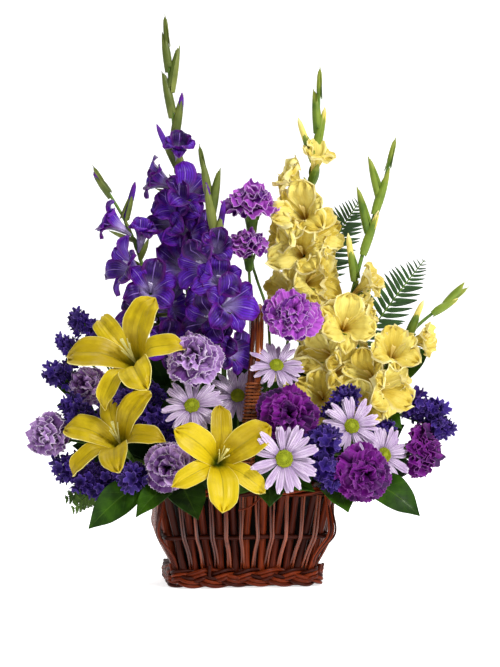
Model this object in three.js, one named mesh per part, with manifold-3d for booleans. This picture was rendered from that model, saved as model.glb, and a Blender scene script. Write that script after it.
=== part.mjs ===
// A flower basket arrangement: a rectangular willow basket with a hoop handle, a liner and a block
// of floral foam, and the cut flowers and leaves whose stems stand in the foam.
// Lengths are millimetres. +X is the viewer's right, +Y the back and +Z up, and the origin lies under
// the middle of the basket, on the surface that it stands on.
import * as THREE from "three";
import { mergeVertices } from "three/addons/utils/BufferGeometryUtils.js";
import Module from "manifold-3d";

const wasm = await Module();
wasm.setup();

// ---------------------------------------------------------------- driving dimensions

const GAP = 0.35; // between neighbours that touch

const BASKET = {
  foot: { halfWidth: 92, halfDepth: 64, corner: 20, radius: 11.2, lobe: 2, height: 13.3, turns: 15 },
  rim: { halfWidth: 113, halfDepth: 79, corner: 22, radius: 5.4, lobe: 0.9, height: 125, turns: 9 },
  sides: { bottom: 27, top: 117.6, rail: 67, rod: 3.9, strip: 1.9, railRadius: 3, lean: 0.08, bend: 0.12 },
  rodsAlongWidth: 11,
  rodsAlongDepth: 7,
  base: { halfWidth: 79.4, halfDepth: 51.4, thickness: 8, rods: 9 },
};

const LINER = {
  floor: 9,
  height: 116,
  wall: 1.4,
  bottom: [76, 48],
  top: [94, 57],
  corner: 16,
};

const FOAM = {
  floor: LINER.floor + LINER.wall + GAP,
  top: 156,
  shoulder: 148,
  bottom: [72, 44],
  middle: [90, 53],
  crown: [84, 47],
  corner: 12,
  stemDepth: 30,
};

const HANDLE = {
  route: [
    [-4, -61, 62],
    [-4, -67, 130],
    [2, -79, 215],
    [10, -72, 300],
    [16, -40, 353],
    [19, 0, 368],
    [23, 40, 353],
    [27, 72, 300],
    [19, 79, 215],
    [4, 67, 130],
    [0, 61, 62],
  ],
  halfWidth: 8.8,
  halfDepth: 4.4,
  bindingFrom: 136,
  bindingTo: 262,
  binding: 1.5,
};

const LILY = { length: 82, throat: -12, innerWidth: 17, outerWidth: 12.5, thickness: 1.5, neck: 5 };
const CARNATION = { radius: 37, base: -18, claw: 6, folds: 12 };
const DAISY = { radius: 41, hole: 7.5, neck: 6.6, disc: 10, petals: 12, thickness: 1 };
const FLORET = { radius: 38, length: 46, notch: 0.8, points: 12 };
const BUD = { shortest: 36, longest: 62 };
const STATICE = { cups: 5, core: 0.45 };

// ---------------------------------------------------------------- what grows where
// head: the middle of the bloom. faces: [azimuth, elevation] in degrees, where azimuth 0 faces the
// viewer and 90 the viewer's right. roll: degrees clockwise. seat: where the stem enters the foam.

const LILIES = {
  lily_upper: { head: [-144, -54, 292], faces: [-34, 30], roll: -43, seat: [-72, -6, 156], size: 0.97 },
  lily_lower: { head: [-165, -73, 187], faces: [-32, 36], roll: -22, seat: [-88, -26, 146], size: 0.86 },
  lily_front: { head: [-45, -128, 168], faces: [3, 15], roll: 4, seat: [-34, -52, 146], size: 0.86 },
};

const CARNATIONS = {
  carnation_top: {
    head: [13, -2, 505], faces: [-10, 70], seat: [22, 6, 156], via: [37, -3, 345], size: 1,
  },
  carnation_second: {
    head: [7, -20, 447], faces: [-10, 70], seat: [-6, -10, 156], via: [-7, -15, 340], size: 0.8,
  },
  carnation_centre: { head: [58, -74, 353], faces: [0, 35], seat: [40, -18, 156], size: 1 },
  carnation_lilac_upper: { head: [-72, -98, 299], faces: [-12, 28], seat: [-50, -20, 156], size: 0.98 },
  carnation_lilac_back: { head: [-203, -3, 261], faces: [-35, 20], seat: [-84, 22, 146], size: 0.8 },
  carnation_lilac_left: { head: [-256, -22, 197], faces: [-48, 10], seat: [-90, 2, 146], size: 0.86 },
  carnation_lilac_low: { head: [-106, -112, 161], faces: [-16, 2], seat: [-62, -52, 144], size: 0.86 },
  carnation_plum_centre: { head: [44, -120, 225], faces: [2, 18], seat: [30, -47, 152], size: 1.1 },
  carnation_plum_low: { head: [140, -136, 153], faces: [10, 0], seat: [62, -52, 144], size: 0.96 },
  carnation_plum_right: { head: [232, -52, 176], faces: [58, 4], seat: [90, -22, 146], size: 1 },
};

const DAISY_SPRAYS = {
  daisy_spray_left: {
    seat: [-14, -34, 156],
    fork: [-10, -46, 198],
    heads: {
      daisy_left: { head: [-76, -104, 239], faces: [-12, 25], size: 0.96 },
      daisy_behind_handle: { head: [-11, -50, 250], faces: [-8, 22], size: 0.9 },
      daisy_upper: { head: [36, -82, 290], faces: [0, 36], size: 0.9 },
    },
  },
  daisy_spray_right: {
    seat: [72, -47, 152],
    fork: [90, -78, 176],
    heads: {
      daisy_front: { head: [35, -161, 174], faces: [0, 5], size: 1.08 },
      daisy_right: { head: [130, -111, 212], faces: [5, 18], size: 0.96 },
      daisy_far_right: { head: [176, -90, 173], faces: [24, 8], size: 0.96 },
    },
  },
};

// A gladiolus spike. florets: [height on the stem, azimuth, elevation, size, openness].
const SPIKES = {
  gladiolus_purple_left: {
    colour: "purple",
    route: [[-60, 18, 156], [-91, 10, 265], [-120, 5, 379], [-150, 3, 470], [-188, 2, 536]],
    florets: [
      [318, 8, 2, 0.9, 1],
      [350, -58, 12, 0.95, 1],
      [384, -6, 14, 0.95, 1],
      [410, -66, 20, 0.95, 1],
      [438, 20, 66, 0.8, 0.35],
      [462, -84, 34, 0.9, 0.5],
    ],
    buds: [[484, 50, 70], [516, -90, 54]],
  },
  gladiolus_purple_tall: {
    colour: "purple",
    route: [[-40, 36, 156], [-57, 46, 268], [-67, 50, 376], [-77, 48, 508], [-91, 46, 653], [-98, 44, 742]],
    florets: [
      [342, 10, 5, 0.9, 1],
      [380, 34, 8, 0.95, 1],
      [418, -20, 12, 1, 1],
      [452, 38, 14, 0.95, 1],
      [476, -44, 18, 0.95, 1],
      [508, 14, 28, 0.95, 1],
      [526, -84, 26, 0.95, 0.6],
      [556, 0, 56, 0.85, 0.4],
    ],
    buds: [[560, -80, 62], [600, 70, 80], [628, -90, 78], [662, 80, 80], [690, -90, 82]],
  },
  gladiolus_purple_right: {
    colour: "purple",
    route: [
      [-28, -14, 156], [-27, -32, 273], [-32, -46, 345], [-36, -44, 410], [-44, -34, 492], [-56, -30, 560],
    ],
    florets: [
      [322, -22, 0, 0.8, 1],
      [346, -44, 4, 0.9, 1],
      [368, 16, 6, 1, 1],
      [414, -56, 10, 0.95, 1],
      [432, -6, 24, 0.8, 0.6],
    ],
    buds: [[446, 84, 80], [472, -80, 80], [492, 70, 80], [512, -90, 80]],
  },
  gladiolus_yellow_left: {
    colour: "yellow",
    route: [[42, 30, 156], [78, 26, 242], [85, 24, 376], [93, 20, 496], [105, 14, 601], [107, 10, 670]],
    florets: [
      [346, 14, 6, 0.95, 1],
      [386, -62, 0, 0.85, 0.9],
      [398, 22, 12, 0.95, 1],
      [436, -22, 10, 1, 1],
      [484, -24, 20, 1, 1],
      [520, -84, 40, 0.9, 0.5],
      [540, 20, 62, 0.85, 0.4],
    ],
    buds: [[566, -70, 66], [580, 84, 78], [606, -86, 86]],
  },
  gladiolus_yellow_middle: {
    colour: "yellow",
    route: [[60, 8, 156], [98, -14, 216], [132, -26, 337], [164, -22, 450], [187, -16, 522], [202, -12, 575]],
    florets: [
      [244, -18, 8, 0.95, 1],
      [280, 26, 4, 0.9, 1],
      [334, 4, 18, 1, 1],
      [382, 60, 38, 0.8, 0.45],
    ],
    buds: [[404, -80, 80], [440, 80, 70], [468, -70, 74], [494, 86, 72], [516, -80, 74]],
  },
  gladiolus_yellow_right: {
    colour: "yellow",
    route: [[76, -10, 156], [130, -34, 205], [182, -44, 279], [228, -42, 339], [284, -38, 381]],
    florets: [
      [256, 34, 4, 1, 1],
      [292, 6, 34, 0.9, 0.9],
      [318, 62, 10, 0.8, 0.45],
    ],
    buds: [[330, 40, 62], [360, 84, 30], [372, 70, 48]],
  },
};

// Statice. sprigs: the middle of each cluster of florets, with its spread.
const STATICE_SPRAYS = {
  statice_left: {
    seat: [-80, 40, 146],
    fork: [-162, 34, 262],
    sprigs: [[-218, 24, 352, 14], [-196, 27, 341, 12], [-237, 22, 322, 12], [-248, 18, 280, 15]],
  },
  statice_low_left: {
    seat: [-90, -10, 140],
    fork: [-170, -44, 152],
    sprigs: [[-234, -44, 158, 15], [-214, -64, 142, 13], [-190, -70, 133, 15], [-152, -106, 147, 14]],
  },
  statice_centre_left: {
    seat: [-42, -42, 156],
    fork: [-98, -62, 208],
    sprigs: [[-158, -62, 246, 13], [-126, -79, 222, 14], [-106, -92, 208, 15]],
  },
  statice_front_right: {
    seat: [47, -47, 154],
    fork: [82, -92, 196],
    sprigs: [[90, -142, 192, 16], [84, -136, 166, 15], [130, -84, 250, 12]],
  },
  statice_far_right: {
    seat: [90, 2, 146],
    fork: [212, -18, 222],
    sprigs: [[228, -40, 243, 13], [256, -34, 227, 13], [268, -34, 205, 12]],
  },
};

// Fern fronds. route: from the seat in the foam to the tip; begins: the share of it at which the
// leaflets begin; reach: the longest leaflet; side: the direction in which they spread.
const FROND = { pairs: 12, rib: 0.9, thickness: 1, stalk: 1.8 };
const FRONDS = {
  fern_upper: {
    route: [[58, 40, 156], [84, 44, 280], [110, 46, 400], [140, 42, 470], [169, 36, 516]],
    begins: 0.42,
    reach: 40,
    side: [-58, -10, 36],
  },
  fern_right: {
    route: [[78, 36, 156], [124, 34, 240], [166, 26, 314], [215, 18, 384], [252, 10, 432]],
    begins: 0.4,
    reach: 42,
    side: [-64, -12, 40],
  },
};

const LEATHERLEAF = {
  seat: [-88, 16, 138],
  fork: [-180, -34, 126],
  fronds: [
    { tip: [-236, -56, 116], reach: 15, pairs: 5 },
    { tip: [-228, -74, 104], reach: 16, pairs: 5 },
  ],
};

// Broad leaves, one leafy stem to a node. Each leaf runs from its stalk to its tip; tilt is how far
// its face is turned from level towards the viewer, in degrees.
const LEAFY_STEMS = {
  salal_left: {
    seat: [-78, -52, 140],
    spine: [[-106, -80, 143], [-134, -88, 146]],
    leaves: [
      { base: [-134, -90, 146], tip: [-208, -92, 82], width: 22, tilt: 70 },
      { base: [-98, -82, 140], tip: [-150, -134, 100], width: 18, tilt: 35 },
      { base: [-92, -78, 142], tip: [-72, -142, 97], width: 25, tilt: 55 },
    ],
  },
  salal_front: {
    seat: [16, -53, 142],
    spine: [[24, -80, 141], [26, -94, 139]],
    leaves: [
      { base: [25, -90, 140], tip: [18, -152, 113], width: 20, tilt: 40 },
      { base: [28, -90, 140], tip: [78, -134, 130], width: 18, tilt: 40 },
      { base: [22, -90, 140], tip: [-36, -128, 126], width: 18, tilt: 40 },
    ],
  },
  salal_right: {
    seat: [76, -52, 140],
    spine: [[110, -78, 142], [146, -84, 144]],
    leaves: [
      { base: [148, -88, 144], tip: [218, -118, 96], width: 24, tilt: 60 },
      { base: [106, -80, 142], tip: [120, -142, 104], width: 23, tilt: 50 },
      { base: [152, -80, 145], tip: [202, -60, 130], width: 20, tilt: 25 },
    ],
  },
  salal_upper_right: {
    seat: [88, 12, 150],
    spine: [[156, 6, 222], [192, 0, 262]],
    leaves: [
      { base: [194, -4, 264], tip: [252, -26, 312], width: 18, tilt: 65 },
      { base: [160, -20, 246], tip: [206, -62, 206], width: 20, tilt: 70 },
    ],
  },
  salal_back: {
    seat: [22, 50, 154],
    spine: [[31, 80, 162], [29, 90, 206]],
    leaves: [
      { base: [29, 90, 204], tip: [16, 98, 296], width: 24, tilt: -80 },
      { base: [24, 88, 180], tip: [-78, 100, 192], width: 25, tilt: -70 },
      { base: [35, 86, 176], tip: [118, 92, 202], width: 25, tilt: -65 },
      { base: [26, 84, 166], tip: [-28, 124, 126], width: 24, tilt: -35 },
      { base: [36, 84, 166], tip: [86, 118, 120], width: 24, tilt: -35 },
    ],
  },
};

// ---------------------------------------------------------------- finishes

const finish = (color, roughness = 0.6) => new THREE.MeshStandardMaterial({ color, roughness, metalness: 0 });
const FINISH = {
  willow: finish(0x4a2014, 0.45),
  liner: finish(0x1b241b, 0.4),
  foam: finish(0x35532f, 0.95),
  lily: finish(0xe6ca12),
  purple: finish(0x3c1590),
  yellow: finish(0xe8cd5c),
  violet: finish(0x8b40c2),
  lilac: finish(0xa986cc),
  plum: finish(0x68108c),
  daisy: finish(0xd8c4e4),
  statice: finish(0x351b93),
  stem: finish(0x5c7a2d),
  fern: finish(0x24502a),
  leaf: finish(0x2c591d, 0.4),
};

// ---------------------------------------------------------------- geometry helpers

const vector = (p) => (p.isVector3 ? p.clone() : new THREE.Vector3(...p));
const radians = THREE.MathUtils.degToRad;

/** Numbers from 0 to 1 that repeat for the same seed. */
function randomFrom(seed) {
  let state = seed * 2654435761 + 1013904223;
  return () => {
    state = (Math.imul(state | 0, 1664525) + 1013904223) >>> 0;
    return state / 4294967296;
  };
}

/** A seed for a named piece. */
const seedOf = (name) => [...name].reduce((sum, letter) => sum * 31 + letter.charCodeAt(0), 7) % 100003;

/** A closed geometry, turned so that its faces point out. */
function closed(points, faces) {
  let volume = 0;
  for (let i = 0; i < faces.length; i += 3) {
    const [a, b, c] = [points[faces[i]], points[faces[i + 1]], points[faces[i + 2]]];
    volume += a.dot(new THREE.Vector3().crossVectors(b, c));
  }
  if (volume < 0) faces = faces.reverse();
  const geometry = new THREE.BufferGeometry().setFromPoints(points);
  return geometry.setIndex(faces);
}

/** The surface through rings of points. A ring of one point is a tip, an open end is capped, and flip
 * says which quads take the other diagonal, so that both faces of a thin piece are split alike. */
function skin(rings, { loop = false, flip = () => false } = {}) {
  const points = [];
  const starts = rings.map((ring) => points.push(...ring) - ring.length);
  const faces = [];
  const spans = loop ? rings.length : rings.length - 1;
  for (let i = 0; i < spans; i++) {
    const j = (i + 1) % rings.length;
    const sides = Math.max(rings[i].length, rings[j].length);
    for (let k = 0; k < sides; k++) {
      const next = (k + 1) % sides;
      const [a, a1] = rings[i].length === 1 ? [starts[i], starts[i]] : [starts[i] + k, starts[i] + next];
      const [b, b1] = rings[j].length === 1 ? [starts[j], starts[j]] : [starts[j] + k, starts[j] + next];
      if (a === a1) faces.push(a, b1, b);
      else if (b === b1) faces.push(a, a1, b);
      else if (flip(i, k)) faces.push(a, a1, b, a1, b1, b);
      else faces.push(a, a1, b1, a, b1, b);
    }
  }
  const cap = (start, count, turned) => {
    for (let k = 1; k < count - 1; k++) {
      faces.push(start, ...(turned ? [start + k + 1, start + k] : [start + k, start + k + 1]));
    }
  };
  if (!loop) {
    cap(starts[0], rings[0].length, true);
    cap(starts.at(-1), rings.at(-1).length, false);
  }
  return closed(points, faces);
}

/** A thin solid from an open sheet of triangles: both faces and a wall round every free edge. */
function sheet(points, triangles, thickness) {
  const normals = points.map(() => new THREE.Vector3());
  const edges = new Map();
  for (const t of triangles) {
    const [a, b, c] = t.map((k) => points[k]);
    const normal = b.clone().sub(a).cross(c.clone().sub(a));
    t.forEach((k, i) => {
      normals[k].add(normal);
      edges.set(k + ">" + t[(i + 1) % 3], [k, t[(i + 1) % 3]]);
    });
  }
  const count = points.length;
  const half = normals.map((n) => n.normalize().multiplyScalar(thickness / 2));
  const both = [
    ...points.map((p, k) => p.clone().add(half[k])),
    ...points.map((p, k) => p.clone().sub(half[k])),
  ];
  const faces = [];
  for (const [a, b, c] of triangles) faces.push(a, b, c, a + count, c + count, b + count);
  for (const [a, b] of edges.values()) {
    if (!edges.has(b + ">" + a)) faces.push(b, a, a + count, b, a + count, b + count);
  }
  return closed(both, faces);
}

/** At each point of a path: its tangent, and two directions across it that don't twist. */
function framesAlong(path, across = new THREE.Vector3(1, 0, 0)) {
  let side = vector(across);
  return path.map((at, i) => {
    const before = path[Math.max(i - 1, 0)];
    const after = path[Math.min(i + 1, path.length - 1)];
    const along = after.clone().sub(before).normalize();
    side = side.clone().addScaledVector(along, -side.dot(along)).normalize();
    return { at, along, side, over: along.clone().cross(side) };
  });
}

/** A round tube along a path; radii is one number or one for each point. */
function tube(path, radii, sides = 5) {
  const radius = (i) => (Array.isArray(radii) ? radii[i] : radii);
  const start = Math.abs(path[1].x - path[0].x) > Math.abs(path[1].z - path[0].z) ? [0, 0, 1] : [1, 0, 0];
  return skin(
    framesAlong(path, new THREE.Vector3(...start)).map(({ at, side, over }, i) =>
      Array.from({ length: sides }, (_, k) => {
        const turn = (2 * Math.PI * k) / sides;
        return at
          .clone()
          .addScaledVector(side, radius(i) * Math.cos(turn))
          .addScaledVector(over, radius(i) * Math.sin(turn));
      }),
    ),
  );
}

/** A leaf or petal: a blade of diamond section along a spine, pointed at both ends. */
function blade(spine, { across, widths, thickness, fold = 0, wave = () => 0 }) {
  const frames = framesAlong(spine, across);
  const rings = frames.map(({ at, side, over }, i) => {
    const width = widths[i];
    if (width === 0) return [at.clone()];
    const edge = (sign) =>
      at
        .clone()
        .addScaledVector(side, sign * width)
        .addScaledVector(over, fold * width + wave(i, sign));
    return [
      edge(-1),
      at.clone().addScaledVector(over, thickness / 2),
      edge(1),
      at.clone().addScaledVector(over, -thickness / 2),
    ];
  });
  return skin(rings, { flip: (i, k) => k >= 2 });
}

/** A geometry as a solid that can be joined and cut. */
function solid(geometry) {
  const bare = geometry.clone();
  bare.deleteAttribute("normal");
  bare.deleteAttribute("uv");
  const merged = mergeVertices(bare, 1e-4);
  return new wasm.Manifold(
    new wasm.Mesh({
      numProp: 3,
      vertProperties: merged.attributes.position.array,
      triVerts: new Uint32Array(merged.index.array),
    }),
  );
}

/** A solid's largest body as a geometry. */
function geometryOf(made) {
  const largest = made.decompose().sort((a, b) => b.volume() - a.volume())[0];
  const mesh = largest.getMesh();
  const geometry = new THREE.BufferGeometry();
  geometry.setAttribute("position", new THREE.BufferAttribute(new Float32Array(mesh.vertProperties), 3));
  return geometry.setIndex(new THREE.BufferAttribute(new Uint32Array(mesh.triVerts), 1));
}

const joined = (geometries) => geometryOf(geometries.map(solid).reduce((all, one) => all.add(one)));
const cutBy = (geometry, tools) =>
  geometryOf(tools.map(solid).reduce((left, tool) => left.subtract(tool), solid(geometry)));

/** The unit vector that a bloom faces. */
function facing([azimuth, elevation]) {
  const [a, e] = [radians(azimuth), radians(elevation)];
  return new THREE.Vector3(Math.sin(a) * Math.cos(e), -Math.cos(a) * Math.cos(e), Math.sin(e));
}

/** Turns a bloom's own +Z to where it faces, with its own +Y upwards and then rolled clockwise. */
function turned(faces, roll = 0) {
  const out = facing(faces);
  const up = new THREE.Vector3(0, 0, 1).addScaledVector(out, -out.z).normalize();
  const basis = new THREE.Matrix4().makeBasis(up.clone().cross(out), up, out);
  const rolled = new THREE.Quaternion().setFromAxisAngle(new THREE.Vector3(0, 0, 1), -radians(roll));
  return new THREE.Quaternion().setFromRotationMatrix(basis).multiply(rolled);
}

/** The point of a rising curve at a height. */
function heightOn(curve, height) {
  let [low, high] = [0, 1];
  for (let i = 0; i < 30; i++) {
    const middle = (low + high) / 2;
    if (curve.getPoint(middle).z < height) low = middle;
    else high = middle;
  }
  return curve.getPoint(low);
}

// ---------------------------------------------------------------- the basket

/** The path round a rectangle with round corners. */
function roundedRectangle(halfWidth, halfDepth, corner, steps, height) {
  const shape = new THREE.Shape();
  const [x, y, r] = [halfWidth, halfDepth, corner];
  shape.moveTo(-x + r, -y);
  shape.lineTo(x - r, -y);
  shape.absarc(x - r, -y + r, r, -Math.PI / 2, 0);
  shape.lineTo(x, y - r);
  shape.absarc(x - r, y - r, r, 0, Math.PI / 2);
  shape.lineTo(-x + r, y);
  shape.absarc(-x + r, y - r, r, Math.PI / 2, Math.PI);
  shape.lineTo(-x, -y + r);
  shape.absarc(-x + r, -y + r, r, Math.PI, 1.5 * Math.PI);
  return shape
    .getSpacedPoints(steps)
    .slice(0, steps)
    .map((p) => new THREE.Vector3(p.x, p.y, height));
}

/** A rope of three willow rods laid round the basket. Its lobes meet again if turns divides by 3. */
function braidedRing({ halfWidth, halfDepth, corner, radius, lobe, height, turns }, steps) {
  const path = roundedRectangle(halfWidth, halfDepth, corner, steps, height);
  const sides = 6;
  const rings = path.map((at, i) => {
    const before = path[(i + steps - 1) % steps];
    const after = path[(i + 1) % steps];
    const along = after.clone().sub(before).normalize();
    const outward = along.clone().cross(new THREE.Vector3(0, 0, 1));
    const twist = (2 * Math.PI * turns * i) / steps / 3;
    return Array.from({ length: sides }, (_, k) => {
      const turn = twist + (2 * Math.PI * k) / sides;
      const reach = radius + (k % 2 ? -lobe : lobe);
      return at
        .clone()
        .addScaledVector(outward, reach * Math.cos(turn))
        .add(new THREE.Vector3(0, 0, reach * Math.sin(turn)));
    });
  });
  return skin(rings, { loop: true });
}

/** A point on the basket's side: share goes round it, and the two heights blend foot into rim. */
function sidePoint(face, share, height, outward) {
  const { foot, rim, sides } = BASKET;
  const rise = (height - sides.bottom) / (sides.top - sides.bottom);
  const width = THREE.MathUtils.lerp(foot.halfWidth, rim.halfWidth, rise);
  const depth = THREE.MathUtils.lerp(foot.halfDepth, rim.halfDepth, rise);
  const [half, out, inset] = face % 2 ? [depth, width, 8] : [width, depth, 8];
  const along = (share * 2 - 1) * (half - inset);
  const turn = new THREE.Quaternion().setFromAxisAngle(new THREE.Vector3(0, 0, 1), (face * Math.PI) / 2);
  return new THREE.Vector3(along, -(out + outward), height).applyQuaternion(turn);
}

/** The upright rods, the rail that ties them and the thin strips that bend over it. */
function sideRods() {
  const { bottom, top, rail, rod, strip, railRadius, lean, bend } = BASKET.sides;
  const railAt = rod + railRadius * 0.7;
  const parts = [];
  for (let face = 0; face < 4; face++) {
    const count = face % 2 ? BASKET.rodsAlongDepth : BASKET.rodsAlongWidth;
    const step = 1 / (count - 1);
    for (let i = 0; i < count; i++) {
      const share = i * step;
      const corner = i === 0 || i === count - 1;
      const shift = corner ? 0 : lean * step * (i % 2 ? 1 : -1);
      const ends = [sidePoint(face, share - shift, bottom, 0), sidePoint(face, share + shift, top, 0)];
      if (!corner || face % 2 === 0) parts.push(tube(ends, rod, 4));
      if (i % 2 || i === count - 1) continue;
      const between = share + step / 2;
      const cross = bend * step * (i % 4 ? 1 : -1);
      const over = [
        sidePoint(face, between - cross, bottom, 2),
        sidePoint(face, between, rail, railAt + railRadius + strip / 3),
        sidePoint(face, between + cross, top, 2),
      ];
      parts.push(tube(over, strip, 3));
    }
  }
  const rise = (rail - bottom) / (top - bottom);
  const { foot, rim } = BASKET;
  const ring = roundedRectangle(
    THREE.MathUtils.lerp(foot.halfWidth, rim.halfWidth, rise) + railAt,
    THREE.MathUtils.lerp(foot.halfDepth, rim.halfDepth, rise) + railAt,
    14,
    24,
    rail,
  );
  const sections = ring.map((at, i) => {
    const before = ring[(i + ring.length - 1) % ring.length];
    const along = ring[(i + 1) % ring.length].clone().sub(before).normalize();
    const outward = along.cross(new THREE.Vector3(0, 0, 1));
    return [0, 1, 2, 3].map((k) =>
      at
        .clone()
        .addScaledVector(outward, railRadius * Math.cos((k * Math.PI) / 2))
        .add(new THREE.Vector3(0, 0, railRadius * Math.sin((k * Math.PI) / 2))),
    );
  });
  parts.push(skin(sections, { loop: true }));
  return joined(parts);
}

/** The woven floor: rods side by side, flat underneath. */
function basketBase() {
  const { halfWidth, halfDepth, thickness, rods } = BASKET.base;
  const pitch = (2 * halfDepth) / rods;
  const shape = new THREE.Shape();
  shape.moveTo(-halfDepth, 0);
  shape.lineTo(halfDepth, 0);
  for (let i = 0; i < rods; i++) {
    const y = halfDepth - i * pitch;
    shape.lineTo(y, thickness - 3);
    shape.lineTo(y - pitch * 0.3, thickness);
    shape.lineTo(y - pitch * 0.7, thickness);
  }
  shape.lineTo(-halfDepth, thickness - 3);
  const geometry = new THREE.ExtrudeGeometry(shape, { depth: 2 * halfWidth, bevelEnabled: false });
  geometry.rotateX(Math.PI / 2).rotateZ(Math.PI / 2);
  return geometry.translate(-halfWidth, 0, 0);
}

/** Two stout rods side by side bent into a hoop, with thin cane wound round each leg. */
function hoopHandle() {
  const { route, halfWidth, halfDepth, bindingFrom, bindingTo, binding } = HANDLE;
  const curve = new THREE.CatmullRomCurve3(route.map(vector));
  const path = curve.getSpacedPoints(30);
  const outline = [
    [1, 0], [0.62, 1], [0, 0.66], [-0.62, 1], [-1, 0], [-0.62, -1], [0, -0.66], [0.62, -1],
  ];
  const rings = framesAlong(path).map(({ at, side, over }, i) => {
    const bound = at.z > bindingFrom && at.z < bindingTo;
    const extra = bound ? binding * (i % 2 ? 1 : 0.35) : 0;
    return outline.map(([x, y]) =>
      at
        .clone()
        .addScaledVector(side, x * halfWidth + Math.sign(x) * extra)
        .addScaledVector(over, y * halfDepth + Math.sign(y) * (extra + (bound && x === 0 ? 1.2 : 0))),
    );
  });
  return skin(rings);
}

/** A ring of eight points: a rectangle with its corners cut off. */
function cutCornerRing([halfWidth, halfDepth], corner, height) {
  const [x, y, c] = [halfWidth, halfDepth, corner];
  return [
    [-x + c, -y], [x - c, -y], [x, -y + c], [x, y - c], [x - c, y], [-x + c, y], [-x, y - c], [-x, -y + c],
  ].map(([px, py]) => new THREE.Vector3(px, py, height));
}

function liner() {
  const { floor, height, wall, bottom, top, corner } = LINER;
  const inside = ([x, y]) => [x - wall, y - wall];
  return skin([
    cutCornerRing(bottom, corner, floor),
    cutCornerRing(top, corner, height),
    cutCornerRing(inside(top), corner, height),
    cutCornerRing(inside(bottom), corner, floor + wall),
  ]);
}

/** The block of foam with a plain hole for every stem. */
function foam(stems) {
  const { floor, shoulder, top, bottom, middle, crown, corner } = FOAM;
  const block = skin([
    cutCornerRing(bottom, corner, floor),
    cutCornerRing(middle, corner, shoulder),
    cutCornerRing(crown, corner, top),
  ]);
  const holes = stems.map(({ path, radius }) => {
    const out = path[1].clone().sub(path[0]).normalize();
    const ends = [path[0].clone().addScaledVector(out, -GAP), path[1].clone().addScaledVector(out, 12)];
    return tube(ends, (radius + 0.4) * Math.SQRT2, 4);
  });
  return cutBy(block, holes);
}

// ---------------------------------------------------------------- stems

/** Every stem that stands in the foam, noted so that the foam gets its hole. */
const seatedStems = [];

/** The route of a stem: straight in the foam, then a smooth bend to where it meets its bloom. */
function stemRoute(seat, neck, axis, radius, { via = null, steps = 3 } = {}) {
  const from = vector(seat);
  const deep = new THREE.Vector3(from.x * 0.62, from.y * 0.5, from.z > 154 ? 70 : 118);
  const out = from.clone().sub(deep).normalize();
  const inner = from.clone().addScaledVector(out, -FOAM.stemDepth);
  const exit = from.clone().addScaledVector(out, 6);
  seatedStems.push({ path: [inner, exit], radius });
  const reach = exit.distanceTo(neck) / 3;
  const bend = via
    ? new THREE.CatmullRomCurve3([exit, vector(via), neck.clone().addScaledVector(axis, -reach * 0.4), neck])
    : new THREE.CubicBezierCurve3(
        exit,
        exit.clone().addScaledVector(out, reach),
        neck.clone().addScaledVector(axis, -reach),
        neck,
      );
  return [inner, ...bend.getPoints(steps)];
}

/** A stem with the cup that holds its bloom: cup lists [distance behind the head, radius]. */
function cuppedStem({ head, faces, seat, via, size }, radius, cup) {
  const axis = facing(faces);
  const at = (distance) => vector(head).addScaledVector(axis, -distance * size);
  const route = stemRoute(seat, at(cup[0][0]), axis, radius, { via });
  const path = [...route, ...cup.slice(1).map(([distance]) => at(distance))];
  const radii = path.map((_, i) => {
    const k = i - route.length + 1;
    return k < 0 ? radius : cup[k][1] * (k ? size : 1);
  });
  return tube(path, radii, 5);
}

// ---------------------------------------------------------------- the flowers

/** A trumpet lily facing +Z: three broad petals over three narrow ones, six stamens and a style. */
function lily(name) {
  const { length, throat, innerWidth, outerWidth, thickness, neck } = LILY;
  const random = randomFrom(seedOf(name));
  const profile = [[2, throat], [9, throat + 14], [25, 24], [48, 37], [68, 35], [length, 24]];
  const widths = [0, 0.34, 0.82, 1, 0.72, 0];
  const parts = [
    new THREE.CylinderGeometry(neck, neck - 1, 12, 6).rotateX(Math.PI / 2).translate(0, 0, throat + 4),
  ];
  for (let i = 0; i < 6; i++) {
    const inner = i % 2 === 1;
    const turn = new THREE.Quaternion().setFromAxisAngle(new THREE.Vector3(0, 0, 1), (-i * Math.PI) / 3);
    const stretch = (0.94 + 0.1 * random()) * (inner ? 0.97 : 1.02);
    const spine = profile.map(([r, z], k) =>
      new THREE.Vector3(0, r * stretch, z + (inner ? 1.6 : -1.2) * (k > 0) - k * k * 0.3 * random())
        .applyQuaternion(turn),
    );
    const width = inner ? innerWidth : outerWidth;
    const across = new THREE.Vector3(1, 0, 0).applyQuaternion(turn);
    parts.push(
      blade(spine, { across, widths: widths.map((w) => w * width), thickness, fold: 0.22 }),
    );
  }
  for (let i = 0; i < 7; i++) {
    const turn = (i * Math.PI) / 3 + 0.5;
    const [spread, rise] = i === 6 ? [3, 44] : [11, 36];
    const tip = new THREE.Vector3(spread * Math.cos(turn), spread * Math.sin(turn) + 3, rise);
    parts.push(tube([new THREE.Vector3(0, 0, throat + 6), tip], [0.9, 1.6], 3));
  }
  return joined(parts);
}

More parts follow.
